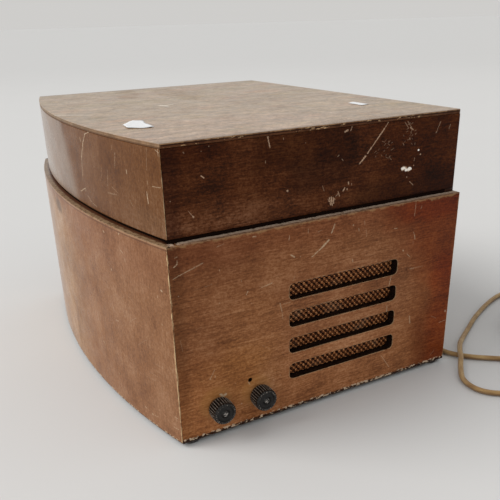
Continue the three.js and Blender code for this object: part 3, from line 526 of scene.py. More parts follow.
# ------------------------------------------------------------------ the woods
MARKS = {
    "lidR": [
        (75.7, 293.9, 68.2, 284.2, 0.54, 0.8), (68.2, 284.2, 59.5, 274.5, 0.93, 1.0), (59.5, 274.5, 53.2, 267.4, 0.73, 0.9),
        (53.2, 267.4, 48.6, 262.4, 0.88, 1.0), (46.5, 260.0, 42.5, 256.1, 1.27, 1.05), (42.5, 256.1, 39.2, 253.2, 0.88, 0.9),
        (19.1, 295.3, 22.8, 290.9, 0.56, 0.7), (20.6, 285.7, 24.1, 286.9, 1.13, 0.9), (29.0, 289.8, 27.5, 286.3, 0.76, 0.7),
        (-66.0, 293.7, -63.2, 289.5, 1.06, 0.8), (-64.0, 291.3, -61.4, 280.1, 0.8, 0.9), (-130.2, 263.6, -127.8, 261.6, 0.77, 0.9),
        (-143.9, 234.2, -140.1, 229.1, 0.43, 0.6), (-140.1, 229.1, -139.4, 228.3, 1.05, 1.0), (-43.2, 238.2, -43.1, 238.1, 1.4, 1.0),
        (-160.1, 245.5, -160.1, 245.4, 0.85, 0.5), (-121.3, 287.8, -121.5, 287.3, 0.68, 0.6), (-128.9, 284.4, -129.2, 284.0, 0.68, 0.5),
        (-66.2, 268.6, -66.2, 266.8, 0.54, 0.6), (-47.2, 287.0, -47.2, 285.7, 0.54, 0.5), (-23.6, 280.2, -23.6, 280.1, 0.83, 0.4),
        (94.8, 240.9, 95.0, 240.8, 2.45, 1.2), (102.2, 238.7, 105.3, 239.8, 1.75, 1.2), (97.7, 240.1, 101.3, 238.6, 0.72, 0.8),
        (117.1, 253.6, 117.2, 253.4, 1.24, 1.1), (109.7, 250.6, 109.0, 248.1, 0.51, 0.6), (109.2, 243.0, 109.2, 242.6, 0.82, 0.8),
        (101.0, 232.0, 101.0, 231.6, 0.93, 0.7), (105.2, 226.8, 110.2, 222.6, 0.62, 0.6), (141.2, 284.1, 136.1, 273.1, 0.62, 0.55),
        (155.2, 279.8, 153.7, 275.9, 0.83, 0.4), (93.5, 288.0, 98.0, 282.8, 0.5, 0.5), (97.5, 288.1, 103.2, 281.3, 0.6, 0.5),
        (101.2, 281.9, 105.0, 279.5, 0.9, 0.7), (92.8, 267.5, 94.3, 265.4, 0.5, 0.5), (101.3, 271.6, 101.5, 270.6, 0.81, 0.6),
        (103.5, 279.3, 101.3, 273.6, 0.4, 0.35), (4.6, 224.7, 6.1, 217.0, 0.78, 1.0), (6.6, 224.9, 8.1, 216.5, 0.88, 1.1),
        (8.9, 224.1, 9.9, 217.9, 0.78, 1.0), (3.6, 220.9, 11.2, 221.7, 0.58, 0.8), (2.7, 223.5, 6.6, 218.1, 0.58, 0.7),
        (10.6, 223.3, 6.6, 217.4, 0.59, 0.8), (14.6, 229.2, 16.6, 224.4, 0.68, 0.8), (20.5, 229.0, 22.6, 231.7, 0.88, 0.9),
        (25.4, 230.6, 25.6, 229.5, 0.88, 0.8), (26.8, 236.9, 27.0, 235.1, 1.08, 0.9), (30.5, 234.9, 30.8, 233.4, 0.59, 0.6),
        (-3.8, 237.2, -1.9, 232.1, 0.67, 0.35), (12.1, 224.6, 14.4, 227.2, 0.59, 0.7), (12.9, 263.1, 14.6, 264.6, 0.57, 0.5),
        (18.1, 260.4, 19.5, 258.8, 0.58, 0.5), (-145.3, 285.6, -144.8, 284.8, 0.67, 0.4), (69.0, 262.0, 70.0, 263.1, 0.42, 0.42),
        (74.2, 270.3, 74.5, 271.2, 0.42, 0.42), (68.8, 267.7, 70.8, 269.4, 0.42, 0.42), (78.0, 262.1, 79.8, 263.2, 0.42, 0.42),
        (75.5, 255.1, 76.5, 256.6, 0.42, 0.42), (74.8, 270.2, 76.2, 271.9, 0.42, 0.42), (69.2, 271.4, 71.0, 273.1, 0.41, 0.42),
        (76.8, 254.7, 77.5, 256.6, 0.42, 0.42), (71.7, 256.8, 72.3, 258.3, 0.42, 0.42), (78.0, 269.2, 79.2, 269.9, 0.42, 0.42),
        (80.0, 262.7, 81.7, 263.9, 0.42, 0.42), (72.8, 264.5, 73.8, 265.6, 0.42, 0.42), (74.8, 254.5, 72.2, 255.7, 0.42, 0.36),
        (79.0, 252.4, 77.3, 254.3, 0.42, 0.36), (79.0, 252.9, 76.5, 254.7, 0.42, 0.36), (75.8, 267.4, 73.3, 269.1, 0.42, 0.36),
        (69.0, 270.9, 66.2, 272.1, 0.41, 0.36), (67.0, 257.4, 65.7, 258.9, 0.42, 0.36), (98.5, 270.0, 101.2, 270.8, 0.42, 0.42),
        (102.0, 285.3, 104.0, 286.5, 0.42, 0.42), (108.3, 264.3, 109.0, 265.9, 0.43, 0.42), (97.3, 285.0, 99.5, 285.7, 0.42, 0.42),
        (96.3, 278.0, 98.2, 278.9, 0.42, 0.42), (94.8, 268.2, 95.5, 269.5, 0.42, 0.42), (107.2, 277.6, 108.8, 278.8, 0.42, 0.42),
        (103.7, 273.2, 105.0, 274.6, 0.42, 0.42), (108.2, 274.7, 109.5, 275.9, 0.42, 0.42), (96.8, 280.3, 98.8, 281.9, 0.42, 0.42),
        (101.0, 286.1, 99.3, 287.4, 0.42, 0.36), (93.8, 273.9, 92.7, 275.7, 0.42, 0.36), (103.2, 276.1, 101.3, 277.9, 0.42, 0.36),
        (105.0, 270.0, 104.3, 271.0, 0.42, 0.36), (105.0, 265.0, 103.7, 266.3, 0.43, 0.36), (60.0, 260.5, 61.5, 261.4, 0.39, 0.35),
        (58.2, 257.5, 59.3, 258.4, 0.4, 0.35), (61.8, 263.8, 62.8, 265.2, 0.39, 0.35), (57.2, 261.9, 59.2, 263.2, 0.39, 0.35),
        (95.3, 242.3, 98.8, 241.4, 2.25, 1.3), (98.8, 239.2, 103.8, 240.4, 1.54, 1.2),
    ],
    "baseR": [
        (-166.4, 178.4, -160.8, 180.4, 0.44, 0.9), (-160.8, 180.4, -149.7, 183.7, 0.62, 0.8), (-149.7, 183.7, -136.8, 187.7, 0.8, 0.55),
        (-161.2, 194.5, -161.4, 191.8, 0.52, 0.9), (-161.4, 191.8, -164.6, 189.1, 0.7, 0.9), (-163.3, 197.4, -160.9, 198.1, 0.61, 0.6),
        (-85.5, 203.0, -82.8, 203.0, 0.92, 0.9), (-46.1, 196.8, -46.8, 192.9, 0.66, 0.7), (-24.9, 200.0, -25.1, 196.1, 0.58, 0.5),
        (-44.5, 177.4, -40.5, 174.6, 1.06, 1.0), (-33.8, 173.7, -33.6, 173.3, 0.87, 0.6), (-0.8, 184.6, -8.8, 178.3, 1.38, 1.2),
        (-8.8, 178.3, -20.4, 170.7, 0.79, 1.1), (-122.8, 200.0, -115.2, 201.8, 0.36, 0.5), (-94.2, 147.5, -92.5, 150.2, 0.95, 0.8),
        (-120.8, 177.8, -121.0, 176.8, 0.55, 0.6), (-122.5, 145.1, -122.5, 144.9, 1.02, 0.6), (-89.0, 137.0, -88.8, 136.8, 0.96, 0.5),
        (-79.5, 150.7, -72.7, 151.7, 0.48, 0.8), (-72.7, 151.7, -66.0, 153.1, 0.77, 0.9), (-98.8, 163.2, -98.8, 161.2, 0.47, 0.4),
        (-162.4, 161.1, -162.3, 160.9, 0.8, 0.6), (-57.2, 129.5, -55.2, 120.9, 0.88, 0.7), (-55.2, 120.9, -54.0, 111.9, 0.49, 0.5),
        (-52.6, 127.9, -45.1, 128.3, 0.49, 0.5), (-40.0, 155.4, -42.2, 150.1, 0.39, 0.5), (-43.5, 148.2, -45.1, 144.4, 0.39, 0.6),
        (5.9, 199.5, 2.2, 191.3, 0.98, 1.0), (28.6, 194.8, 28.9, 194.6, 1.2, 0.9), (35.4, 190.2, 35.9, 187.5, 0.7, 0.7),
        (42.4, 196.8, 42.9, 193.1, 0.5, 0.6), (44.9, 188.0, 45.8, 179.4, 0.4, 0.4), (82.0, 182.1, 85.2, 181.8, 0.83, 0.8),
        (108.2, 173.8, 110.2, 170.1, 0.53, 0.6), (110.2, 170.1, 111.2, 165.4, 0.85, 0.8), (109.0, 163.6, 109.0, 160.2, 0.43, 0.4),
        (96.0, 155.4, 96.2, 155.2, 1.39, 1.0), (101.7, 150.3, 105.5, 146.7, 0.75, 0.6), (29.1, 158.5, 29.6, 156.1, 0.92, 0.9),
        (108.8, 204.7, 108.0, 191.4, 0.52, 0.6), (117.3, 200.7, 116.2, 198.2, 0.63, 0.5), (81.5, 128.0, 79.3, 117.5, 0.75, 0.9),
        (78.5, 95.2, 78.5, 86.8, 0.66, 0.9), (74.5, 34.4, 87.3, 15.8, 0.56, 0.8), (107.5, 131.9, 113.2, 131.9, 0.87, 0.5),
        (113.2, 131.9, 126.1, 131.9, 0.44, 0.5), (112.0, 74.3, 113.5, 65.2, 1.13, 0.7), (166.6, 67.8, 166.9, 67.0, 1.63, 0.8),
        (158.8, 54.4, 168.2, 55.3, 0.59, 0.8), (145.2, 66.1, 153.3, 61.6, 0.46, 0.4), (-131.3, 76.7, -136.3, 67.9, 0.58, 0.6),
        (-136.3, 68.0, -136.2, 67.5, 1.16, 0.9), (-130.8, 69.9, -130.9, 67.7, 0.68, 0.5), (-109.2, 55.1, -109.0, 55.0, 0.89, 0.4),
        (-103.5, 29.5, -103.2, 29.4, 1.22, 0.8), (-65.8, 46.0, -65.7, 45.8, 1.13, 0.5), (-57.8, 48.7, -57.6, 48.6, 1.03, 0.5),
        (-126.0, 47.3, -123.5, 44.6, 1.97, 1.5), (-123.5, 44.6, -120.8, 46.1, 1.98, 1.5), (-94.8, 52.0, -93.8, 49.4, 0.8, 0.9),
        (26.0, 36.3, 31.4, 37.3, 0.44, 0.4), (-33.9, 94.5, -38.6, 84.3, 0.31, 0.35), (-13.8, 195.1, -9.2, 196.3, 0.48, 0.4),
        (-147.8, 124.0, -142.6, 125.7, 0.37, 0.35), (-78.5, 89.4, -69.3, 82.4, 0.3, 0.35), (-164.2, 118.0, -162.2, 105.0, 0.28, 0.35),
        (149.6, 13.8, 155.2, 19.0, 0.48, 0.5), (-136.2, 164.4, -129.1, 165.8, 0.36, 0.35),
    ],
    "lidF": [
        (103.3, 291.1, 90.2, 287.4, 0.57, 0.9), (90.2, 287.4, 80.7, 277.3, 0.68, 1.0), (80.7, 277.3, 71.5, 261.1, 0.79, 1.0),
        (71.5, 261.1, 68.2, 243.2, 0.71, 0.8), (66.8, 242.9, 65.0, 236.3, 0.41, 0.5), (73.3, 281.3, 76.5, 278.2, 1.1, 0.6),
        (72.8, 291.0, 72.5, 288.0, 0.4, 0.5), (55.4, 223.9, 71.7, 230.3, 0.63, 0.9), (71.7, 230.3, 72.0, 227.2, 0.62, 0.9),
        (76.2, 222.8, 81.2, 220.6, 0.62, 0.5), (82.2, 219.8, 86.0, 218.5, 0.51, 0.6), (88.5, 217.9, 98.3, 215.8, 0.51, 0.6),
        (153.9, 278.6, 150.1, 263.5, 0.36, 0.6), (134.8, 259.2, 130.8, 243.2, 0.38, 0.4), (148.2, 284.2, 148.2, 279.7, 0.36, 0.5),
        (171.9, 265.0, 172.3, 261.9, 0.72, 0.9), (121.8, 259.1, 117.8, 248.7, 0.29, 0.3), (202.9, 250.5, 203.2, 245.2, 0.52, 0.9),
        (203.2, 245.2, 203.7, 240.4, 0.7, 1.0), (205.2, 261.4, 205.2, 257.0, 0.34, 0.5), (208.2, 289.0, 205.7, 270.1, 0.25, 0.4),
        (211.8, 257.0, 223.9, 257.7, 0.34, 0.8), (173.2, 237.8, 176.7, 232.9, 0.36, 0.5), (130.2, 236.8, 149.1, 237.9, 0.58, 0.35),
        (140.3, 244.0, 151.6, 240.3, 0.38, 0.35), (166.8, 292.6, 177.7, 295.1, 0.53, 0.8), (220.7, 288.9, 225.2, 287.0, 0.41, 0.8),
        (223.8, 292.5, 224.2, 284.4, 0.41, 0.7),
    ],
    "baseF": [
        (125.3, 198.4, 126.8, 197.2, 1.08, 0.8), (159.3, 204.4, 157.8, 203.0, 0.94, 0.8), (133.3, 160.7, 133.7, 159.5, 1.1, 0.9),
        (158.6, 187.3, 161.8, 185.1, 0.67, 0.6), (163.8, 180.6, 164.8, 176.8, 0.57, 0.6), (221.9, 164.7, 223.2, 164.1, 1.17, 0.8),
        (215.7, 157.9, 215.8, 156.0, 0.55, 0.8), (-48.0, 58.1, -48.9, 54.9, 1.28, 0.8), (56.4, 178.0, 55.5, 173.2, 0.43, 0.5),
        (127.0, 116.3, 128.0, 115.3, 0.72, 0.6), (128.8, 102.6, 135.8, 104.0, 0.73, 0.5), (87.2, 61.2, 91.7, 59.3, 0.78, 0.7),
        (121.2, 35.8, 121.5, 34.7, 0.87, 0.6), (81.8, 30.8, 82.0, 29.6, 0.68, 0.5), (174.2, 18.9, 177.1, 18.5, 0.94, 0.8),
        (186.7, 16.8, 187.8, 16.1, 1.13, 0.9), (191.6, 17.1, 193.2, 17.0, 0.61, 0.7), (195.1, 17.3, 197.2, 17.8, 0.61, 0.7),
        (200.6, 28.1, 201.4, 27.9, 0.6, 0.6), (223.3, 18.9, 230.8, 19.5, 0.49, 0.8), (226.4, 32.1, 230.9, 32.0, 0.49, 0.7),
        (218.8, 129.9, 219.2, 129.3, 0.74, 0.7), (190.3, 67.4, 207.2, 67.8, 0.3, 0.35), (194.8, 73.8, 212.8, 73.6, 0.3, 0.3),
        (181.9, 59.2, 199.8, 61.2, 0.3, 0.3), (200.9, 80.8, 215.4, 81.3, 0.29, 0.3), (145.2, 130.8, 154.8, 138.3, 0.3, 0.35),
        (161.3, 112.2, 174.4, 121.2, 0.3, 0.35), (97.5, 162.4, 110.7, 172.5, 0.31, 0.35), (172.6, 90.7, 189.1, 102.6, 0.3, 0.3),
        (163.2, 141.0, 173.7, 137.0, 0.29, 0.3), (188.8, 162.3, 204.9, 162.1, 0.28, 0.3),
    ],
    "top": [
        (-17.1, -70.2, -5.2, -66.2, 2.84, 1.3), (-13.1, -64.2, -16.6, -54.0, 1.89, 0.9), (75.2, -111.8, 82.2, -105.5, 1.67, -1.0),
        (2.2, -12.1, -8.4, 10.1, 1.56, -0.8), (-8.4, 10.1, -23.9, 33.5, 1.6, -0.8), (-11.9, -195.1, 15.1, -161.4, 1.64, 0.9),
        (217.7, -45.4, 224.8, -45.5, 0.91, -0.5), (216.3, 10.4, 218.6, 18.1, 0.95, -0.5), (190.2, -107.7, 196.7, -103.8, 0.9, -0.6),
        (46.5, -59.4, 47.8, -51.5, 1.11, -0.5), (-136.8, -126.2, -117.0, -120.0, 1.3, -0.7), (-126.8, -162.2, -99.8, -153.8, 2.27, -0.6),
        (-86.0, -174.2, -51.5, -161.6, 2.16, -0.6), (159.6, 50.1, 167.2, 47.5, 1.25, 0.5), (95.7, 195.3, 102.8, 195.4, 1.46, -0.4),
        (45.1, -128.7, 48.8, -125.5, 1.5, -0.6), (34.9, -46.9, 36.1, -38.8, 1.59, -0.5),
    ],
}


def jit_a(g):
    return (g.noise(g.p, 0.35, 1) - 0.5) * 3.0


def wood(name, plane, cols, fine=0.5, band=0.35, blotch=0.35, wave=10.0, pore=0.3, rough=(0.32, 0.5), coat=0.0,
         zones=None, wear=(), strokes=None, speckle=0.3, streak_freq=0.42, run=0.014, bumps=0.18, extra=None, after=None,
         flecks=0.35, spec=0.5, grit=0.0, grit_scale=0.42, coat_rough=0.12):
    """Polished veneer. plane is the two cabinet axes of its face, with the grain along the first; cols are its
    dark, middle and light colours."""
    g = Graph(name)
    ax = {"x": g.x, "y": g.y, "z": g.z}
    u, v = ax[plane[0]], ax[plane[1]]
    w = ax[({"x", "y", "z"} - set(plane)).pop()]
    warp = (g.noise(g.p, 0.011, 2, 0.5) - 0.5) * wave + (g.noise(g.p, 0.045, 1, 0.5) - 0.5) * (wave * 0.18)
    vv = v + warp
    s1 = g.noise(g.comb(u * run, vv * streak_freq, w * streak_freq), 1.0, 4, 0.68)
    sp = g.noise(g.comb(u * 0.20, vv * 0.55, w * 0.55), 1.0, 3, 0.75)
    s2 = g.noise(g.comb(u * 0.045, vv * 1.25, w * 1.25), 1.0, 2, 0.6)
    s3 = g.noise(g.comb(u * 0.006, vv * 0.06, w * 0.06), 1.0, 2, 0.55)
    bl = g.noise(g.p, 0.021, 3, 0.6)
    gr = g.noise(g.p, grit_scale, 3, 0.85)
    t = (s1 - 0.5) * (fine * 2) + (s3 - 0.5) * (band * 2) + (bl - 0.5) * (blotch * 2) + (sp - 0.5) * (speckle * 2) + (gr - 0.5) * (grit * 2) + 0.5
    if zones:
        t = t + zones(g)
    col = g.ramp(t, [(0.12, cols[0]), (0.5, cols[1]), (0.9, cols[2])])
    pores = g.step(s2, 0.56, 0.72)
    col = g.mix(pores * pore, col, tuple(c * 0.35 for c in cols[0]))
    if extra:
        col = extra(g, col, dict(u=u, v=v, s1=s1, s2=s2, s3=s3, bl=bl, sp=sp, gr=gr))
    shine = g.noise(g.p, 0.05, 3, 0.6)
    r = g.step(shine, 0.25, 0.75, rough[0], rough[1])
    height = s1 * 0.5 + s2 * 0.5
    total = None
    # bands along the edges: worn paler, and on the back rail's top a dark band of painted shade under the lid
    for dist, width, colour, amount, grain in wear:
        d = dist(g)
        n = g.noise(g.comb(u * grain, v * grain, w * grain), 1.0, 4, 0.68)
        m = g.step((1.0 - d / width) + (n - 0.5) * 2.2, 0.45, 0.9) * g.step(d, width * 1.6, width * 0.4) * amount
        col = g.mix(m, col, colour)
        r = r + m * 0.2
        height = height - m * 0.8
    if strokes:
        jitter = (g.noise(g.p, 0.6, 1) - 0.5) * 1.3
        at = {"x": g.x, "y": g.y, "z": g.z}
        flat = g.comb(at[strokes[1][0]] + jitter, at[strokes[1][1]] - jitter, 0.0)
        pale = segments(g, flat, strokes[0], 1)
        rag = g.step(g.noise(g.p, 0.9, 2), 0.34, 0.5, 0.45, 1.0)
        if isinstance(pale, S):
            pale = pale * rag
            col = g.mix(pale * strokes[3], col, strokes[2])
            r = r + pale * 0.2
        dark = segments(g, flat, strokes[0], -1)
        if isinstance(dark, S):
            col = g.mix(dark * rag * 0.75, col, tuple(c * 0.45 for c in cols[0]))
    if flecks:
        # tiny bruises that show the pale wood under the polish
        f = g.cells(g.vec("ADD", g.p, g.comb(jit_a(g), 0.0, 0.0)), 0.085)
        size = g.step(g.noise(g.p, 0.03, 2), 0.52, 0.75, 0.0, 0.085)
        m = g.step(f, size, size * 0.5) * flecks
        col = g.mix(m, col, tuple(min(1.0, c * 2.2 + 0.02) for c in cols[2]))
    if after:
        col = after(g, col, dict(u=u, v=v, s1=s1, s2=s2, s3=s3, bl=bl, sp=sp, gr=gr))
    g.set(Base_Color=col, Roughness=r, Normal=g.bump(height, bumps, 0.0006), Specular_IOR_Level=spec(g) if callable(spec) else spec)
    if coat:
        g.set(Coat_Weight=coat(g) if callable(coat) else coat, Coat_Roughness=coat_rough)
    return g.mat


def jag(points, amount, step, seed, pick=None):
    """The outline with a point every few millimetres, each moved in a little, as a chipped edge is."""
    rnd = random.Random(seed)
    out = []
    n = len(points)
    for i in range(n):
        a, b = Vector((*points[i], 0)), Vector((*points[(i + 1) % n], 0))
        k = max(1, int((b - a).length / step))
        d = (b - a).normalized()
        inward = Vector((-d.y, d.x, 0))
        chosen = pick is None or pick(a, b)
        for j in range(k):
            q = a + (b - a) * (j / k)
            if j and chosen:
                q = q + inward * amount * max(0.0, rnd.gauss(0.0, 0.5)) + d * rnd.uniform(-0.3, 0.3) * min(1.0, step / 4)
            out.append((q.x, q.y))
    return out


HALF_W, HALF_D, BOW, WALL = 235.0, 170.0, 33.0, 10.0
BASE_Z, RIM_Z = 4.3, 208.0
LID_HW, LID_FRONT, LID_BACK, LID_BOW, LID_WALL = 226.7, -166.0, 168.0, 29.4, 9.0
LID_Z, LID_TOP_Z, LID_BOARD, GAP = 211.5, 294.5, 4.0, 0.3


def arc(half, y_end, depth):
    r = (half ** 2 + depth ** 2) / (2 * depth)
    return r, y_end + math.sqrt(r * r - half * half)


def arc_line(a, inset, half, n):
    r = a[0] - inset
    e = math.asin(half / r)
    return [(r * math.sin(-e + 2 * e * i / n), a[1] - r * math.cos(-e + 2 * e * i / n)) for i in range(n + 1)]


BASE_ARC = arc(HALF_W, -HALF_D, BOW)
LID_ARC = arc(LID_HW, LID_FRONT, LID_BOW)


def rounded(x, y, r, n=6):
    out = []
    for cx, cy, a0 in ((x[1] - r, y[0] + r, -90), (x[1] - r, y[1] - r, 0), (x[0] + r, y[1] - r, 90), (x[0] + r, y[0] + r, 180)):
        for i in range(n + 1):
            a = math.radians(a0 + 90 * i / n)
            out.append((cx + r * math.cos(a), cy + r * math.sin(a)))
    return out


def circle(cx, cy, r, n=32):
    return [(cx + r * math.cos(2 * math.pi * i / n), cy + r * math.sin(2 * math.pi * i / n)) for i in range(n)]


SLOT_Y = (-46.4, 89.8)
SLOT_Z = (49.1, 78.9, 108.7, 138.7)
KNOB_Y = (-129.0, -82.7)
KNOB_Z = 34.5
TAN = (0.50, 0.33, 0.17)
PALE = (0.62, 0.50, 0.36)


def slot_distance(g):
    """Distance outside the nearest grille slot, in the panel's plane."""
    best = None
    dy = ab(g, g.y - 21.7) - (68.1 - 5.0)
    for z in SLOT_Z:
        dz = ab(g, g.z - z) - (8.9 - 5.0)
        o = g.vec("LENGTH", g.comb(mx(g, dy, 0.0), mx(g, dz, 0.0), 0.0)) + mn(g, mx(g, dy, dz), 0.0) - 5.0
        best = o if best is None else mn(g, best, o)
    return mx(g, best, 0.0)


# distances from edges, in mm, each made on the graph that asks for it
def from_low_z(z0): return lambda g: mx(g, g.z - z0, 0.0)
def from_high_z(z0): return lambda g: mx(g, z0 - g.z, 0.0)
def from_front(y0): return lambda g: mx(g, g.y - y0, 0.0)
def from_back(y0): return lambda g: mx(g, y0 - g.y, 0.0)
def from_side(x0): return lambda g: mx(g, x0 - ab(g, g.x), 0.0)


SIDE_COLS = ((0.085, 0.026, 0.009), (0.230, 0.085, 0.031), (0.40, 0.19, 0.09))


def rim_top(g, col, e):
    """The ledge round the lid: worn paler along its outer edge, with painted shade under the lid: near black at the
    sides and dark red-brown at the front.
    """
    top = g.step(g.z, 207.15, 207.6)
    side = 235.0 - ab(g, g.x)
    rad = g.vec("LENGTH", g.comb(g.x, g.y - BASE_ARC[1], 0.0))
    front = BASE_ARC[0] - rad
    n = g.noise(g.p, 0.30, 4, 0.7)
    # painted shade under the lid: the inner part of the ledge at the sides, and a band at the front
    lid_shade_side = g.step(side + (n - 0.5) * 0.8, 8.5, 9.2)
    lid_shade_front = g.step(front + (n - 0.5) * 1.6, 4.3, 6.4)
    on_side = g.step(g.y, -169.0, -164.0)
    grey = g.mix(g.step(n, 0.50, 0.68), (0.44, 0.33, 0.25), (0.20, 0.13, 0.088))
    grey = g.mix(g.step(side + (n - 0.5) * 2.0, 4.6, 2.2), grey, g.mix(g.step(n, 0.44, 0.60), (0.28, 0.165, 0.10), (0.15, 0.078, 0.044)))
    brown = g.mix(g.step(n, 0.42, 0.62), (0.26, 0.168, 0.095), (0.13, 0.073, 0.038))
    a = g.mix(lid_shade_side, grey, (0.006, 0.002, 0.001))
    b = g.mix(lid_shade_front, brown, (0.080, 0.028, 0.012))
    return g.mix(top, col, g.mix(on_side, b, a))


def foot_edge(g, col, e, rise=0.0):
    # the lower edge: painted shade, dark along the bottom over the floor, with the pale wood showing in flecks where it
    # is bruised
    low = g.step(g.z + (e["sp2"] - 0.5) * 3.0, 6.0 + rise, 4.8 + rise)
    col = g.mix(low * 0.93, col, (0.012, 0.005, 0.004))
    fleck = g.step(g.noise(g.comb(g.x * 0.27, g.y * 0.27, g.z * 0.36), 1.0, 2, 0.6), 0.515, 0.57) * g.step(g.z, 7.0 + rise, 6.0 + rise)
    fleck = fleck * g.step(g.z, 5.0, 5.6)
    return g.mix(fleck * 0.9, col, (0.60, 0.46, 0.32))


def side_after(g, col, e):
    e["sp2"] = g.noise(g.p, 0.5, 2)
    col = foot_edge(g, col, e, 2.2)
    # painted shade: inside the slots the panel's thickness and its inner face are painted near black
    slot_shade = g.step(ab(g, g.x), 234.45, 233.7) * g.step(g.z, 206.0, 205.0) * g.step(ab(g, g.y), 168.5, 167.5)
    col = g.mix(slot_shade, col, g.mix(g.step(e["s1"], 0.45, 0.65), (0.007, 0.0035, 0.0025), (0.022, 0.011, 0.007)))
    return rim_top(g, col, e)


def side_tint(g, col, e):
    # darker under the rim and towards the back, lighter and amber low down
    bl = e["bl"] - 0.5

    def tint(c, m, by):
        return g.vec("MULTIPLY", c, g.mix(m, (1.0, 1.0, 1.0), by))

    front = g.step(g.y + bl * 60.0, 130.0, 100.0)
    col = tint(col, g.step(g.z + bl * 60.0, 120.0, 25.0) * front, (1.34, 1.40, 1.42))
    mid = g.vec("LENGTH", g.comb((g.y - 20.0) * 0.0085, (g.z - 95.0) * 0.0105, 0.0))
    col = tint(col, g.step(mid + bl * 0.8, 1.0, 0.35), (1.12, 1.16, 1.22))
    left = g.vec("LENGTH", g.comb((g.y + 85.0) * 0.020, (g.z - 108.0) * 0.019, 0.0))
    col = tint(col, g.step(left + bl * 1.0, 1.0, 0.3), (1.20, 1.26, 1.26))
    col = tint(col, g.step(g.z + bl * 26.0, 172.0, 198.0), (0.86, 0.76, 0.72))
    col = tint(col, g.step(g.z + bl * 30.0, 150.0, 190.0) * g.step(g.y + bl * 40.0, -60.0, -110.0), (0.80, 0.74, 0.72))
    col = tint(col, g.step(g.y + bl * 50.0, 95.0, 140.0), (0.96, 0.84, 0.68))
    col = tint(col, g.step(g.y + g.z * 0.8 + bl * 60.0, 190.0, 262.0), (0.70, 0.46, 0.30))
    col = tint(col, g.step(g.y + bl * 50.0, 105.0, 135.0) * g.step(g.z + bl * 50.0, 100.0, 60.0), (0.72, 0.58, 0.50))
    near = g.vec("LENGTH", g.comb((g.y + 100.0) * 0.016, (g.z - 60.0) * 0.020, 0.0))
    col = tint(col, g.step(near + bl * 1.2, 1.0, 0.2) * 0.5, (1.12, 1.20, 0.98))
    col = tint(col, g.step(g.y + bl * 30.0, -120.0, -140.0) * g.step(g.z, 80.0, 30.0), (1.22, 1.26, 1.26))
    col = tint(col, g.step(g.y + bl * 8.0, -153.0, -163.0), (0.70, 0.66, 0.60))
    col = tint(col, g.step(g.z + bl * 24.0, 178.0, 192.0) * g.step(g.y + bl * 50.0, 55.0, 100.0), (0.94, 0.72, 0.48))
    col = tint(col, g.step(g.y + bl * 20.0, 132.0, 150.0) * g.step(g.z + bl * 40.0, 150.0, 120.0), (1.10, 0.82, 0.58))
    col = tint(col, g.step(g.y + bl * 50.0, -60.0, -100.0) * g.step(g.z + bl * 40.0, 110.0, 80.0), (1.0, 0.96, 0.88))
    # the polish is rubbed to amber round the upper side of each knob
    for y in KNOB_Y:
        d = g.vec("LENGTH", g.comb(g.y - (y - 3.0), g.z - (KNOB_Z + 5.0), 0.0))
        halo = g.step(d + (e["gr"] - 0.5) * 8.0, 20.0, 14.0)
        col = g.mix(halo * 0.4, col, (0.44, 0.205, 0.065))
    return col


side_wear = [
    (from_high_z(208.0), 5.5, (0.34, 0.20, 0.09), 0.62, 0.09),
    (from_front(-170.0), 1.4, (0.66, 0.44, 0.24), 0.9, 0.12),
    (from_back(170.0), 2.0, (0.36, 0.21, 0.10), 0.7, 0.16),
    (slot_distance, 1.1, (0.42, 0.28, 0.16), 0.62, 0.2),
]
SIDE_LOOK = dict(fine=0.34, band=0.12, blotch=0.42, wave=7.0, pore=0.32, rough=(0.30, 0.46), spec=lambda g: g.step(g.z, 207.2, 207.8, 0.10, 0.02), speckle=0.42, grit=0.36,
                 streak_freq=0.62, run=0.03, wear=side_wear, extra=side_tint, after=side_after)
base_side_mat = wood("mahogany_base_side", ("y", "z"), SIDE_COLS, **SIDE_LOOK,
                     strokes=(MARKS.get("baseR", []), ("y", "z"), (0.52, 0.38, 0.245), 0.85))
base_side_left_mat = wood("mahogany_base_left", ("y", "z"), SIDE_COLS, **SIDE_LOOK)


def mitre(arc_, thickness, half, sign, gap=0.45):
    """Moves the inner face's front end back along the mitre."""
    in_x = half - thickness
    y_in = arc_[1] - math.sqrt((arc_[0] - thickness) ** 2 - in_x ** 2) + gap
    y_out = arc_[1] - math.sqrt(arc_[0] ** 2 - half ** 2) + gap

    def shear(bm):
        for q in bm.verts:
            y = q.co.y * 1000 - SY
            if y < y_out + 1.2:
                inner = abs(abs(q.co.x * 1000 - SX) - in_x) < 0.5
                q.co.y += ((y_in if inner else y_out) - y_out) / 1000
    return shear, y_out


def base_side(sign):
    shear, y0 = mitre(BASE_ARC, WALL, HALF_W, sign)
    outline = [(y0, BASE_Z), (HALF_D, BASE_Z), (HALF_D, RIM_Z), (y0, RIM_Z)]
    outline = jag(outline, 0.55, 3.2, 11 if sign > 0 else 12, lambda a, b: abs(a.y - b.y) < 1)
    loops = [outline]
    for z in SLOT_Z:
        loops.append(jag(rounded(SLOT_Y, (z - 8.9, z + 8.9), 5.0), -0.25, 3.0, int(z)))
    if sign > 0:
        for y in KNOB_Y:
            loops.append(circle(y, KNOB_Z, 5.5, 24))
        loops.append(circle(-92.7, 53.8, 2.5, 20))
    lo, hi = (HALF_W - WALL, HALF_W) if sign > 0 else (-HALF_W, -HALF_W + WALL)
    name = "right" if sign > 0 else "left"
    return prism(name + "_side_veneered", loops, "x", lo, hi, base_side_mat if sign > 0 else base_side_left_mat, "cabinet",
                 f"base_{name}_side", shear, bev=0.75)


base_side(1)
base_side(-1)

FRONT_COLS = ((0.135, 0.052, 0.021), (0.270, 0.124, 0.055), (0.41, 0.235, 0.135))


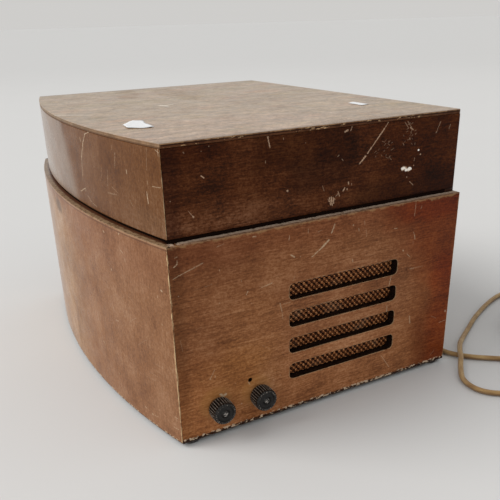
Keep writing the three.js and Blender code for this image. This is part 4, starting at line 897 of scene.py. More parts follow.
def front_top(g, col, e):
    # the reeded band just under the rim
    line = g.step(ab(g, g.z - 205.1), 0.9, 0.3) * 0.55
    col = g.mix(line, col, (0.08, 0.035, 0.02))
    worn = g.step(ab(g, g.z - 207.0), 1.0, 0.4) * g.step(g.noise(g.comb(g.x * 0.05, g.y * 0.05, 0.0), 1.0, 3, 0.7), 0.36, 0.50)
    col = g.mix(worn * 0.7, col, (0.37, 0.225, 0.13))
    e["sp2"] = g.noise(g.p, 0.5, 2)
    col = foot_edge(g, col, e)
    return rim_top(g, col, e)


def front_sheen_and_bruises(g, col, e):
    # painted reflection of the bright room, paler and greyer round towards the left of the bow, with dark bruises near
    # the rim
    m = g.step(g.x + (e["bl"] - 0.5) * 40.0, 72.0, -34.0) * g.step(g.z, 206.0, 190.0)
    col = g.vec("MULTIPLY", col, g.mix(m, (1.0, 1.0, 1.0), (1.24, 1.46, 1.62)))
    near = g.step(g.x + (e["bl"] - 0.5) * 120.0, 40.0, 200.0)
    col = g.vec("MULTIPLY", col, g.mix(near, (1.0, 1.0, 1.0), (0.92, 0.90, 0.88)))
    top = g.step(g.z + (e["bl"] - 0.5) * 60.0, 140.0, 190.0) * g.step(g.x, -120.0, 60.0)
    col = g.vec("MULTIPLY", col, g.mix(top, (1.0, 1.0, 1.0), (0.92, 0.86, 0.84)))
    bruise = g.vec("LENGTH", g.comb((g.x + 26.0) * 0.055, (g.z - 192.0) * 0.09, 0.0))
    return g.mix(g.step(bruise + (e["sp"] - 0.5) * 1.6, 1.05, 0.5) * 0.8, col, (0.12, 0.07, 0.045))


base_front_mat = wood("mahogany_base_front", ("z", "x"), FRONT_COLS, fine=0.18, band=0.10, blotch=0.46, wave=14.0, speckle=0.36, grit=0.45,
                      pore=0.35, rough=(0.26, 0.42), streak_freq=0.45, run=0.03, spec=0.12, extra=front_sheen_and_bruises,
                      coat=lambda g: g.step(g.x, 10.0, -150.0, 0.0, 0.7), coat_rough=0.3,
                      wear=[(from_high_z(208.0), 2.0, (0.36, 0.22, 0.13), 0.6, 0.16),
                            (from_side(235.0), 2.5, (0.62, 0.43, 0.24), 0.95, 0.10)],
                      strokes=(MARKS.get("baseF", []), ("x", "z"), (0.60, 0.47, 0.33), 0.8), after=front_top)


def bowed(name, arc_, thickness, half, z, mat, body, node, bev, seed):
    n = 56
    outer = arc_line(arc_, 0, half, n)
    inner = arc_line(arc_, thickness, half - thickness, n)
    loop = [*outer, *reversed(inner)]
    return prism(name, [loop], "z", z[0], z[1], mat, body, node, bev=bev)


bowed("front_bow_veneered", BASE_ARC, WALL, HALF_W, (BASE_Z, RIM_Z), base_front_mat, "cabinet", "base_front_panel",
      0.75, 3)

LID_COLS = ((0.024, 0.0065, 0.0022), (0.074, 0.0195, 0.0048), (0.145, 0.052, 0.019))
lid_wear = [
    (from_front(-166.0), 1.0, (0.30, 0.19, 0.10), 0.4, 0.10),
    (from_back(168.0), 1.4, (0.20, 0.11, 0.05), 0.6, 0.15),
]


def lid_chips(g, col, e):
    # the knocked place low on the right-hand side, down to the white ground
    n = (e["gr"] - 0.5) * 1.5
    m = None
    for y, z, ry, rz in ((95.6, 241.6, 3.4, 1.6), (99.6, 239.6, 2.2, 1.5), (103.8, 240.2, 2.9, 1.9), (114.2, 258.3, 1.2, 1.0)):
        d = g.vec("LENGTH", g.comb((g.y - y) / ry, (g.z - z) / rz, 0.0))
        k = g.step(d + n, 1.05, 0.75)
        m = k if m is None else mx(g, m, k)
    return g.mix(m, col, (0.96, 0.90, 0.82))


def lid_spots(g, col, e):
    bl = e["bl"] - 0.5

    def tint(c, m, by):
        return g.vec("MULTIPLY", c, g.mix(m, (1.0, 1.0, 1.0), by))

    # nearly black along the upper middle, redder low down towards the front, and dark again towards the back
    upper = g.step(g.z + bl * 50.0, 246.0, 274.0) * g.step(ab(g, g.y + 25.0 + bl * 50.0), 62.0, 40.0)
    col = tint(col, upper, (0.56, 0.48, 0.34))
    lower = g.step(g.z + bl * 30.0, 244.0, 222.0) * g.step(g.y + bl * 40.0, -10.0, -80.0)
    col = tint(col, lower, (1.50, 1.80, 2.4))
    mid = g.step(ab(g, g.z - 252.0 + bl * 40.0), 22.0, 10.0) * g.step(ab(g, g.y + 5.0 + bl * 50.0), 46.0, 24.0)
    col = tint(col, mid, (0.60, 0.56, 0.52))
    back = g.step(g.z + bl * 30.0, 246.0, 224.0) * g.step(g.y + bl * 40.0, 20.0, 55.0)
    col = tint(col, back, (0.62, 0.58, 0.46))
    col = tint(col, g.step(g.y + bl * 40.0, -95.0, -130.0) * g.step(g.z + bl * 30.0, 262.0, 278.0), (0.62, 0.50, 0.36))
    col = tint(col, g.step(g.y + bl * 10.0, -146.0, -158.0), (0.66, 0.62, 0.66))
    # painted shade: darker towards the lid's lower edge and darkest on its underside, over the gap above the rim
    col = tint(col, g.step(g.z + (e["sp"] - 0.5) * 3.0, 215.0, 212.4), (0.74, 0.68, 0.62))
    col = tint(col, g.step(g.z, 211.9, 210.8), (0.30, 0.22, 0.18))
    return tint(col, g.step(g.y, 10.0, 100.0), (0.68, 0.54, 0.30))


lid_side_mat = wood("mahogany_lid_side", ("y", "z"), LID_COLS, fine=0.40, band=0.20, blotch=0.62, wave=7.0, pore=0.5,
                    speckle=0.6, grit=0.55, streak_freq=0.62, run=0.03,
                    rough=(0.27, 0.40), spec=0.06, wear=lid_wear, extra=lid_spots,
                    after=lid_chips, strokes=(MARKS.get("lidR", []), ("y", "z"), (0.58, 0.39, 0.26), 0.92))
lid_left_mat = wood("mahogany_lid_left", ("y", "z"), LID_COLS, fine=0.40, band=0.20, blotch=0.62, wave=7.0, pore=0.5,
                    speckle=0.6, grit=0.55, streak_freq=0.62, run=0.03,
                    rough=(0.27, 0.40), spec=0.06, wear=lid_wear, extra=lid_spots)
LIDF_COLS = ((0.085, 0.026, 0.006), (0.172, 0.064, 0.017), (0.27, 0.135, 0.062))
def lid_front_painted_sheen(g, col, e):
    # painted reflection of the bright room: pale over the left of the bow, with a soft upright edge
    edge = g.x + (g.z - 250.0) * 0.42 + (e["bl"] - 0.5) * 10.0
    m = g.step(edge, 40.0, 12.0) * 0.26 + g.step(edge, 0.0, -120.0) * 0.12
    col = g.mix(m, col, (0.36, 0.30, 0.225))
    col = g.vec("MULTIPLY", col, g.mix(g.step(g.x + (e["bl"] - 0.5) * 60.0, -40.0, 20.0), (1.0, 1.0, 1.0), (0.84, 0.87, 0.93)))
    low = g.step(g.z + (e["bl"] - 0.5) * 24.0, 240.0, 224.0) * g.step(g.x, 140.0, 200.0)
    return g.vec("MULTIPLY", col, g.mix(low, (1.0, 1.0, 1.0), (1.2, 1.4, 1.9)))


lid_front_mat = wood("mahogany_lid_front", ("z", "x"), LIDF_COLS, fine=0.20, band=0.12, blotch=0.42, wave=14.0, pore=0.35,
                     speckle=0.42, grit=0.40, extra=lid_front_painted_sheen,
                     rough=(0.22, 0.36), streak_freq=0.26, spec=0.10, coat_rough=0.3,
                     coat=lambda g: g.step(g.x + (g.z - 250.0) * 0.42, 40.0, 12.0, 0.0, 0.5) + g.step(g.x, 0.0, -120.0, 0.0, 0.4),
                     wear=[(from_low_z(211.5), 1.2, (0.12, 0.06, 0.03), 0.6, 0.2),
                           (from_side(226.7), 1.3, (0.46, 0.33, 0.20), 0.7, 0.10)],
                     strokes=(MARKS.get("lidF", []), ("x", "z"), (0.64, 0.50, 0.35), 0.85))

lid_wall = (LID_Z, LID_TOP_Z - LID_BOARD - GAP)
bowed("lid_bow_veneered", LID_ARC, LID_WALL, LID_HW, lid_wall, lid_front_mat, "lid", "lid_front_panel", 0.7, 5)


def lid_side(sign):
    shear, y0 = mitre(LID_ARC, LID_WALL, LID_HW, sign)
    outline = jag([(y0, lid_wall[0]), (LID_BACK, lid_wall[0]), (LID_BACK, lid_wall[1]), (y0, lid_wall[1])],
                  0.35, 4.0, 21, lambda a, b: abs(a.y - b.y) < 1 and a.y < 240)
    lo, hi = (LID_HW - LID_WALL, LID_HW) if sign > 0 else (-LID_HW, -LID_HW + LID_WALL)
    name = "right" if sign > 0 else "left"
    prism(f"lid_{name}_veneered", [outline], "x", lo, hi, lid_side_mat if sign > 0 else lid_left_mat, "lid",
          f"lid_{name}_side", shear, bev=0.7)


lid_side(1)
lid_side(-1)

TOP_COLS = ((0.21, 0.135, 0.083), (0.352, 0.255, 0.172), (0.44, 0.345, 0.255))


def top_edge_distance(g):
    side = mx(g, LID_HW - ab(g, g.x), 0.0)
    back = mx(g, LID_BACK - g.y, 0.0)
    rad = g.vec("LENGTH", g.comb(g.x, g.y - LID_ARC[1], 0.0))
    return mn(g, mn(g, side, back), mx(g, LID_ARC[0] - rad, 0.0))


def top_details(g, col, e):
    # the figure of the veneer: long soft streaks, warmer and greener by turns
    streak = g.noise(g.comb(g.x * 0.10, g.y * 0.017, 0.0), 1.0, 4, 0.72)
    col = g.vec("SCALE", col, g.step(streak, 0.36, 0.64, 0.80, 1.18))
    hue = g.noise(g.comb(g.x * 0.022, g.y * 0.008, 4.0), 1.0, 3, 0.6)
    col = g.mix(g.step(hue, 0.50, 0.66), col, g.vec("MULTIPLY", col, (0.95, 0.96, 0.84)))
    col = g.mix(g.step(hue, 0.46, 0.34), col, g.vec("MULTIPLY", col, (1.06, 0.95, 0.92)))
    fine = g.noise(g.comb(g.x * 0.22, g.y * 0.12, 3.0), 1.0, 3, 0.85)
    col = g.vec("SCALE", col, g.step(fine, 0.36, 0.64, 0.76, 1.26))
    dash = g.noise(g.comb(g.x * 0.125, g.y * 0.026, 9.0), 1.0, 3, 0.7)
    col = g.mix(g.step(dash, 0.60, 0.68) * 0.5, col, (0.17, 0.105, 0.06))
    dot = g.noise(g.comb(g.x * 0.14, g.y * 0.16, 7.0), 1.0, 3, 0.85)
    col = g.mix(g.step(dot, 0.575, 0.67) * 0.6, col, (0.16, 0.095, 0.062))
    near = g.step(g.x, 60.0, 150.0) * g.step(g.y, 60.0, -20.0)
    col = g.vec("MULTIPLY", col, g.mix(near, (1.02, 1.0, 0.95), (1.13, 1.08, 1.09)))
    # two amber patches near the left end where the polish is thicker
    amber = None
    for cx, cy, ha, hb in ((-168.0, -60.0, 12.5, 4.4), (-124.0, -6.0, 27.0, 4.6)):
        dx, dy = g.x - cx, g.y - cy
        a = dx * 0.289 + dy * 0.693
        b = dy * -0.0522 + dx * 0.0570 - a * 0.11
        d = g.vec("LENGTH", g.comb(a / ha, b / hb, 0.0))
        m = g.step(d + (streak - 0.5) * 1.1 + (fine - 0.5) * 0.5, 1.12, 0.80)
        amber = m if amber is None else mx(g, amber, m)
    col = g.mix(amber, col, g.vec("MULTIPLY", col, (0.83, 0.75, 0.60)))
    # dark streaks fanning out at the front left corner
    fan = g.noise(g.comb((g.x + g.y * 0.12) * 0.085, g.y * 0.012, 0.0), 1.0, 4, 0.7)
    where = g.step(g.x, -110.0, -200.0) * g.step(g.y, 30.0, -70.0)
    col = g.mix(g.step(fan, 0.50, 0.62) * where * 0.6, col, (0.20, 0.13, 0.075))
    # handled brown along the right-hand edge
    side = LID_HW - ab(g, g.x) + (fine - 0.5) * 7.0
    col = g.mix(g.step(side, 11.0, 5.0) * 0.5, col, (0.25, 0.16, 0.095))
    return g.mix(g.step(side, 5.0, 1.5) * 0.85, col, (0.15, 0.085, 0.045))


def top_strip(g, col, e):
    # the edge of the board. At the sides a worn brown corner over a dark line and the veneer;
    # round the bow a paler edging with a dark glue line that fades towards the left.
    z = g.z + (e["gr"] - 0.5) * 1.0
    at_front = g.step(g.y, -164.4, -166.4)
    tone = g.noise(g.comb(g.x * 0.05, g.y * 0.05, 0.0), 1.0, 4, 0.75)
    side = g.mix(g.step(tone, 0.42, 0.58), (0.060, 0.019, 0.006), (0.100, 0.036, 0.013))
    side = g.mix(g.step(z, 293.3, 293.8), side, g.mix(g.step(tone, 0.44, 0.60), (0.17, 0.085, 0.042), (0.34, 0.20, 0.10)))
    side = g.mix(g.step(ab(g, z - 292.8), 0.75, 0.35) * 0.9, side, (0.020, 0.005, 0.001))
    chip = g.step(g.noise(g.comb(g.x * 0.10, g.y * 0.10, g.z * 0.35), 1.0, 4, 0.8), 0.585, 0.63)
    side = g.mix(chip * g.step(g.z, 290.6, 291.0) * 0.85, side, (0.56, 0.36, 0.19))
    front = g.vec("SCALE", g.mix(g.step(g.x, 120.0, -60.0), (0.235, 0.140, 0.078), (0.265, 0.190, 0.125)), g.step(tone, 0.35, 0.65, 0.75, 1.25))
    front = g.mix(g.step(ab(g, z - 291.3), 0.8, 0.35) * g.step(g.x, -200.0, -90.0) * 0.85, front, (0.105, 0.050, 0.022))
    front = g.mix(g.step(ab(g, z - 293.4), 0.5, 0.2) * 0.35, front, (0.14, 0.08, 0.045))
    under = g.step(g.z, 290.9, 290.6)
    edge = g.mix(under, g.mix(at_front, side, front), (0.105, 0.042, 0.018))
    return g.mix(g.step(z, 294.42, 294.15), col, edge)


top_mat = wood("mahogany_top", ("y", "x"), TOP_COLS, fine=0.26, band=0.14, blotch=0.34, wave=5.0, pore=0.35, speckle=0.3, run=0.03,
               grit=0.36, grit_scale=0.5, rough=(0.30, 0.44), streak_freq=0.5, extra=top_details, after=top_strip,
               spec=lambda g: g.step(g.z, 294.0, 294.4, 0.10, 0.5), coat=lambda g: g.step(g.z, 294.0, 294.4, 0.0, 0.2),
               wear=[(top_edge_distance, 1.6, (0.33, 0.215, 0.125), 0.5, 0.12)],
               strokes=(MARKS.get("top", []), ("x", "y"), (0.86, 0.80, 0.70), 0.95))


def top_board():
    front = arc_line(LID_ARC, 0, LID_HW, 72)
    back = [(LID_HW, LID_BACK), (-LID_HW, LID_BACK)]
    rnd = random.Random(5)
    out = list(front)
    # the right-hand edge and back, with small losses
    prev = front[-1]
    for nxt in (back[0], back[1], front[0]):
        a, b = Vector((*prev, 0)), Vector((*nxt, 0))
        k = int((b - a).length / 3.5)
        d = (b - a).normalized()
        inward = Vector((-d.y, d.x, 0))
        for j in range(1, k):
            q = a + (b - a) * (j / k)
            loss = max(0.0, rnd.gauss(-0.25, 0.45))
            out.append((q.x + inward.x * loss, q.y + inward.y * loss))
        if nxt is not front[0]:
            # a knocked corner, taken off at 45 degrees
            out.append((nxt[0] - d.x * 0.9, nxt[1] - d.y * 0.9))
            e = {0: Vector((-1, 0, 0)), 1: Vector((0, -1, 0))}[0 if nxt is back[0] else 1]
            out.append((nxt[0] + e.x * 0.9, nxt[1] + e.y * 0.9))
        prev = nxt
    prism("lid_top_veneered", [out], "z", LID_TOP_Z - LID_BOARD, LID_TOP_Z, top_mat, "lid", "lid_top_panel",
          bev=0.6)


top_board()

# two blank scraps of torn paper lying stuck to the top
def scrap(name, pts, seed, lift=0.55):
    g = Graph(name + "_paper")
    n = g.noise(g.p, 0.35, 3, 0.6)
    g.set(Base_Color=g.mix(n * 0.7, (0.83, 0.85, 0.88), (0.62, 0.63, 0.65)), Roughness=0.9,
          Normal=g.bump(g.noise(g.p, 1.1, 3), 0.3, 0.0003))
    rnd = random.Random(seed)
    bm = bmesh.new()
    ring = jag([(x, y) for x, y in pts], 0.9, 2.6, seed)
    cx = sum(x for x, _ in ring) / len(ring)
    cy = sum(y for _, y in ring) / len(ring)
    layers = []
    for h in (0.0, 0.16):
        rows = []
        for f in (1.0, 0.8, 0.55, 0.28):
            row = []
            for x, y in ring:
                X, Y = cx + (x - cx) * f, cy + (y - cy) * f
                curl = lift * (f ** 3) * (0.5 + 0.5 * mnoise.noise(Vector((X * 0.06, Y * 0.06, seed)))) * 2
                row.append(bm.verts.new(P(X, Y, 294.56 + h + max(0.0, curl))))
            rows.append(row)
        mid = bm.verts.new(P(cx, cy, 294.56 + h))
        n_ = len(ring)
        for a, b in zip(rows, rows[1:]):
            for i in range(n_):
                bm.faces.new((a[i], a[(i + 1) % n_], b[(i + 1) % n_], b[i]))
        for i in range(n_):
            bm.faces.new((rows[-1][i], rows[-1][(i + 1) % n_], mid))
        layers.append(rows[0])
    for i in range(len(ring)):
        bm.faces.new((layers[0][i], layers[0][(i + 1) % len(ring)], layers[1][(i + 1) % len(ring)], layers[1][i]))
    from_bm(bm, name, g.mat, "lid")


scrap("paper_scrap_front", [(107.6, -157.0), (86.5, -140.0), (93.0, -131.6), (112.0, -136.0), (139.0, -137.2), (140.0, -147.2), (130.0, -160.2)], 3)
scrap("paper_scrap_back", [(113.5, 107.6), (109.2, 118.2), (136.4, 119.0), (139.2, 107.6)], 4, 0.3)


# the back rail, cut down for the hinge leaves
def rail_shade(g, col, e):
    # the outer ends and the top are dark where the lid keeps the light off them
    end = mx(g, g.step(ab(g, g.x), 214.0, 222.0), g.step(g.z, 205.0, 208.0))
    return g.vec("MULTIPLY", col, g.mix(end, (1.0, 1.0, 1.0), (0.20, 0.15, 0.13)))


# the dark band along the rail's top is painted shade under the lid
rail_mat = wood("mahogany_rail", ("x", "z"), SIDE_COLS, wear=[(from_high_z(211.2), 2.0, (0.10, 0.06, 0.035), 0.6, 0.15)],
                speckle=0.4, spec=0.15, after=rail_shade)
prism("back_rail_veneered", [[(-224.7, 168.0), (224.7, 168.0), (224.7, 211.2), (173.0, 211.2), (173.0, 208.0), (107.0, 208.0), (107.0, 211.2),
                              (-107.0, 211.2), (-107.0, 208.0), (-173.0, 208.0), (-173.0, 211.2), (-224.7, 211.2)]], "y", 158.0, 170.0,
      rail_mat, "cabinet", "base_back_rail", bev=0.5)


# ------------------------------------------------------------ the grille mesh
def grille_mat():
    g = Graph("grille_weave")
    n = g.noise(g.p, 0.35, 3, 0.7)
    big = g.noise(g.p, 0.03, 2, 0.5)
    # painted highlights and shade: the strands are painted light where they stand proud between the holes and dark
    # where they dip between the rows
    rz = (g.z - 35.6) / 3.35
    row_part = g.math("FRACT", rz)
    half = g.math("FRACT", g.math("FLOOR", rz) * 0.5)
    uy = (g.y + 55.0) / 6.2 - half
    between = g.math("COSINE", (uy - 0.702) * 6.2832)
    lower = g.math("COSINE", (uy - 0.30) * 6.2832)
    in_row = g.step(g.math("COSINE", (row_part - 0.224) * 6.2832), -0.35, 0.35)
    light = g.mix(in_row, g.step(lower, -1.0, 0.8, 0.05, 0.62), g.step(between, -0.2, 1.0, 0.05, 1.0))
    light = light * 0.8 + (n - 0.5) * 1.5
    col = g.ramp(light, [(0.08, (0.030, 0.008, 0.003)), (0.40, (0.19, 0.058, 0.017)), (0.70, (0.46, 0.185, 0.065)), (1.0, (0.78, 0.40, 0.18))])
    col = g.mix(g.step(big, 0.55, 0.7) * 0.15, col, (0.42, 0.28, 0.18))
    return g.set(Base_Color=col, Roughness=g.step(n, 0.3, 0.7, 0.45, 0.75), Metallic=0.0,
                 Normal=g.bump(light, 0.6, 0.0006), Specular_IOR_Level=0.12)


GRILLE = grille_mat()


def grille(sign):
    bm = bmesh.new()
    pitch_z, hole_h = 3.35, 1.3
    pitch_y, hole_w = 6.2, 2.3
    z0, rows = 35.6, 34
    y0, cols_n = -55.0, 25
    ys = set([-62.0, 105.0])
    for r in range(2):
        for c in range(cols_n + 1):
            a = y0 + c * pitch_y + (pitch_y / 2 if r else 0)
            ys.update((round(a, 4), round(a + hole_w, 4)))
    ys = sorted(ys)
    zs = set([31.0, 154.0])
    for r in range(rows):
        a = z0 + r * pitch_z
        zs.update((round(a, 4), round(a + hole_h, 4)))
    zs = sorted(zs)

    def is_hole(ya, yb, za, zb):
        zc, yc = (za + zb) / 2, (ya + yb) / 2
        r = math.floor((zc - z0) / pitch_z)
        if not 0 <= r < rows or (zc - z0) - r * pitch_z > hole_h:
            return False
        off = y0 + (pitch_y / 2 if r % 2 else 0)
        c = math.floor((yc - off) / pitch_y)
        return 0 <= c < cols_n and (yc - off) - c * pitch_y < hole_w

    verts = {}

    def vert(i, j, k):
        key = (i, j, k)
        if key not in verts:
            # the bars stay flat, as the bulge is zero; each corner is moved a little within the panel's plane
            zc = zs[j]
            bulge = 0.0
            x = (223.6 + k * 0.75 + bulge) * sign
            dy = 0.45 * mnoise.noise(Vector((ys[i] * 0.3, zs[j] * 0.3, 3)))
            dz = 0.30 * mnoise.noise(Vector((ys[i] * 0.2, zs[j] * 0.25, 9)))
            verts[key] = bm.verts.new(P(x, ys[i] + dy, zc + dz))
        return verts[key]

    ny, nz = len(ys) - 1, len(zs) - 1
    solid = {(i, j): not is_hole(ys[i], ys[i + 1], zs[j], zs[j + 1]) for i in range(ny) for j in range(nz)}
    for (i, j), s in solid.items():
        if not s:
            continue
        for k in (0, 1):
            bm.faces.new((vert(i, j, k), vert(i + 1, j, k), vert(i + 1, j + 1, k), vert(i, j + 1, k)))
        for di, dj, a, b in ((-1, 0, (0, 0), (0, 1)), (1, 0, (1, 0), (1, 1)), (0, -1, (0, 0), (1, 0)), (0, 1, (0, 1), (1, 1))):
            if not solid.get((i + di, j + dj), False):
                bm.faces.new((vert(i + a[0], j + a[1], 0), vert(i + b[0], j + b[1], 0), vert(i + b[0], j + b[1], 1), vert(i + a[0], j + a[1], 1)))
    name = "right" if sign > 0 else "left"
    ob = from_bm(bm, f"{name}_grille_weave", GRILLE, "cabinet", f"{name}_grille_mesh", smooth=False)
    return ob


grille(1)
grille(-1)


# ------------------------------------------------------------------ the knobs
def bakelite(name, dusty=0.35, base=(0.022, 0.013, 0.010), rough=(0.25, 0.5)):
    g = Graph(name)
    n = g.noise(g.p, 0.4, 4, 0.7)
    m = g.noise(g.p, 0.08, 2, 0.5)
    col = g.mix(g.step(m, 0.35, 0.7) * 0.5, base, tuple(c * 2.2 for c in base))
    col = g.mix(g.step(n, 0.42, 0.72) * dusty, col, (0.30, 0.24, 0.19))
    return g.set(Base_Color=col, Roughness=g.step(n, 0.3, 0.7, rough[0], rough[1]), Normal=g.bump(n, 0.12, 0.0003))


def knob_mat(name, y):
    g = Graph(name + "_knob_bakelite")
    n = g.noise(g.p, 0.7, 3, 0.7)
    rad = g.vec("LENGTH", g.comb(g.y - y, g.z - KNOB_Z, 0.0))
    # painted highlight: a pale line along the crest of each flute
    ridge_highlight = g.step(rad, 11.6, 12.0) * g.step(g.x, 251.0, 250.2) * g.step(n, 0.34, 0.52)
    face = g.step(g.x, 250.9, 251.35) * g.step(rad, 8.8, 9.6)
    col = g.mix(g.step(n, 0.4, 0.7) * 0.4, (0.0045, 0.0035, 0.003), (0.020, 0.015, 0.012))
    col = g.mix(ridge_highlight * 0.85, col, (0.33, 0.28, 0.24))
    # painted highlights: pale specks over the face
    speck = g.step(g.noise(g.p, 0.8, 2, 0.6), 0.55, 0.64)
    col = g.mix(face * speck * 0.8, col, (0.50, 0.44, 0.38))
    # painted glint on the hub
    col = g.mix(g.step(rad, 3.0, 1.8) * g.step(g.noise(g.p, 0.9, 1), 0.46, 0.58) * 0.8, col, (0.50, 0.46, 0.42))
    return g.set(Base_Color=col, Roughness=g.step(n, 0.3, 0.7, 0.26, 0.44), Specular_IOR_Level=0.32,
                 Normal=g.bump(n, 0.25, 0.0004))


def knob(name, y):
    profile = [(0.0, 240.4), (3.0, 240.4), (3.1, 236.6), (10.9, 236.5), (11.6, 236.9), (12.0, 238.0), (12.1, 239.5), (12.15, 242.5), (12.15, 245.8),
               (12.05, 248.6), (11.7, 250.0), (11.2, 250.9), (10.4, 251.45), (9.6, 251.5), (9.0, 251.2), (8.5, 250.2), (8.1, 249.3),
               (7.4, 249.0), (6.0, 249.0), (4.6, 249.05), (3.9, 249.6), (3.3, 250.5), (2.5, 251.2), (1.4, 251.5), (0.0, 251.6)]

    def wave(i, a, r, h):
        if 5 <= i <= 10:
            k = {5: 0.3, 6: 0.8, 7: 1.0, 8: 1.0, 9: 0.8, 10: 0.4}[i]
            return r - 1.6 * k * (0.5 - 0.5 * math.cos(28 * a)) ** 0.6, h
        if i in (11, 12, 13):
            return r, h - 0.5 * (0.5 - 0.5 * math.cos(28 * a))
        return r, h

    return lathe(f"{name}_knob_fluted", profile, (0, y, KNOB_Z), "x", 280, knob_mat(name, y), f"{name}_knob", f"{name}_knob",
                 wave, close=False)


knob("volume", KNOB_Y[0])
knob("tone", KNOB_Y[1])

# ------------------------------------------------------------- the playing deck
def plain(name, cols, freq=0.2, rough=(0.4, 0.6), metal=0.0, bump=0.1, spec=0.5, dust=0.0, **more):
    g = Graph(name)
    n = g.noise(g.p, freq, 4, 0.62)
    m = g.noise(g.p, freq * 0.15, 2, 0.5)
    col = g.ramp(n * 0.6 + m * 0.4, [(0.3, cols[0]), (0.7, cols[1])])
    if dust:
        col = g.mix(g.step(g.noise(g.p, freq * 0.7, 3, 0.7), 0.45, 0.75) * dust, col, (0.42, 0.37, 0.31))
    g.set(Base_Color=col, Roughness=g.step(n, 0.25, 0.75, rough[0], rough[1]), Metallic=metal,
          Normal=g.bump(n, bump, 0.0004), Specular_IOR_Level=spec, **more)
    return g.mat


STEEL = plain("plated_steel", ((0.34, 0.33, 0.32), (0.52, 0.51, 0.49)), 0.3, (0.28, 0.46), 1.0)
BRASS = plain("hinge_brass", ((0.30, 0.19, 0.07), (0.52, 0.36, 0.15)), 0.3, (0.28, 0.5), 1.0)
DECK_PAINT = plain("deck_enamel", ((0.52, 0.45, 0.32), (0.62, 0.55, 0.41)), 0.25, (0.28, 0.42), bump=0.06, Coat_Weight=0.3)
PLATTER_PAINT = plain("platter_enamel", ((0.12, 0.075, 0.05), (0.17, 0.11, 0.075)), 0.5, (0.3, 0.42), 0.35, Coat_Weight=0.3)
ARM_CREAM = plain("arm_cream", ((0.60, 0.53, 0.39), (0.68, 0.61, 0.47)), 0.2, (0.24, 0.36), bump=0.04)
DECK_BAKELITE = bakelite("deck_bakelite", 0.12, (0.030, 0.014, 0.009), (0.16, 0.32))
RUBBER = plain("foot_rubber", ((0.014, 0.013, 0.012), (0.035, 0.032, 0.030)), 0.5, (0.65, 0.85), dust=0.2)

PLATE_X, PLATE_Y, PLATE_Z = (-200.0, 175.0), (-150.0, 150.0), (173.0, 184.0)
SPINDLE, PULLEY, IDLER_PIVOT, ARM_PIVOT = (-50.0, -5.0), (-121.54, -61.84), (-100.77, -49.13), (120.0, 100.0)
OVERARM, SPEED, START = (-118.0, 143.0), (152.0, -55.0), (152.0, -112.0)


def rubber_mat():
    g = Graph("turntable_rubber")
    n = g.noise(g.p, 0.4, 4, 0.7)
    rad = g.vec("LENGTH", g.comb(g.x - SPINDLE[0], g.y - SPINDLE[1], 0.0))
    worn = g.step(ab(g, rad - 66.0), 30.0, 8.0) * 0.25
    col = g.mix(g.step(n, 0.45, 0.75) * 0.4 + worn, (0.018, 0.016, 0.015), (0.075, 0.068, 0.062))
    return g.set(Base_Color=col, Roughness=g.step(n, 0.3, 0.7, 0.62, 0.85), Normal=g.bump(n, 0.2, 0.0003), Specular_IOR_Level=0.3)


def screws(name, spots, mat, body):
    """Slotted screws in one piece: each spot is (centre, axis, radius, height, slot angle)."""
    bm = bmesh.new()
    for centre, axis, r, h, turn in spots:
        n = Vector(axis).normalized()
        a = n.orthogonal().normalized()
        a = (a * math.cos(turn) + n.cross(a) * math.sin(turn))
        b = n.cross(a)
        c = Vector(centre)

        def put(u, v, w):
            q = c + a * u + b * v + n * w
            return bm.verts.new(P(q.x, q.y, q.z))
        k = 28
        rows = [[put(rr * math.cos(2 * math.pi * i / k), rr * math.sin(2 * math.pi * i / k), hh) for i in range(k)]
                for rr, hh in ((r, 0.0), (r, h * 0.45))]
        for i in range(k):
            bm.faces.new((rows[0][i], rows[0][(i + 1) % k], rows[1][(i + 1) % k], rows[1][i]))
        bm.faces.new(rows[1])
        bm.faces.new(list(reversed(rows[0])))
        s = r * 0.14
        for sign in (-1, 1):
            layers = []
            for rr, hh in ((r * 0.995, h * 0.45), (r * 0.93, h * 0.78), (r * 0.72, h)):
                e = math.asin(s / rr)
                pts = []
                for i in range(15):
                    t = e + (math.pi - 2 * e) * i / 14
                    pts.append(put(rr * math.cos(t), sign * rr * math.sin(t), hh))
                layers.append(pts)
            for p_, q_ in zip(layers, layers[1:]):
                for i in range(15):
                    bm.faces.new((p_[i], p_[(i + 1) % 15], q_[(i + 1) % 15], q_[i]))
            bm.faces.new(layers[-1])
            bm.faces.new(list(reversed(layers[0])))
    ob = from_bm(bm, name, mat, body)
    for p_ in ob.data.polygons:
        p_.use_smooth = False
    return ob


# the pressed unit plate: a tray with a rolled edge
holes = [circle(*SPINDLE, 4.3), circle(*PULLEY, 8.0), circle(*IDLER_PIVOT, 3.0, 20), circle(*ARM_PIVOT, 5.6), circle(*OVERARM, 4.5),
         circle(*SPEED, 3.6, 20), circle(*START, 3.6, 20)]
prism("deck_plate_top", [rounded(PLATE_X, PLATE_Y, 16.0, 10), *holes], "z", 182.4, 184.0, DECK_PAINT, "cabinet", "deck_plate",
      bev=0.75, seg=4)
prism("deck_plate_skirt", [rounded((PLATE_X[0] + 0.35, PLATE_X[1] - 0.35), (PLATE_Y[0] + 0.35, PLATE_Y[1] - 0.35), 15.6, 10),
                           rounded((PLATE_X[0] + 1.6, PLATE_X[1] - 1.6), (PLATE_Y[0] + 1.6, PLATE_Y[1] - 1.6), 14.4, 10)],
      "z", 173.0, 182.5, DECK_PAINT, "cabinet", "deck_plate", bev=0.3, seg=2)
corners = [(-190.5, -141.0), (-190.5, 141.0), (126.0, -141.0), (166.0, 141.0)]
screws("deck_mounting_screws", [((x, y, 184.02), (0, 0, 1), 4.2, 2.0, 0.4 + i) for i, (x, y) in enumerate(corners)], STEEL, "cabinet")
for i, (x, y) in enumerate(corners):
    coil = []
    for k in range(0, 97):
        t = k / 96
        a = 2 * math.pi * 3.5 * t
        r = 5.4 - 1.5 * t
        coil.append((x + r * math.cos(a), y + r * math.sin(a), 172.9 + 8.9 * t))
    tube(f"deck_spring_{i + 1}", coil, 0.7, 8, STEEL, "cabinet")

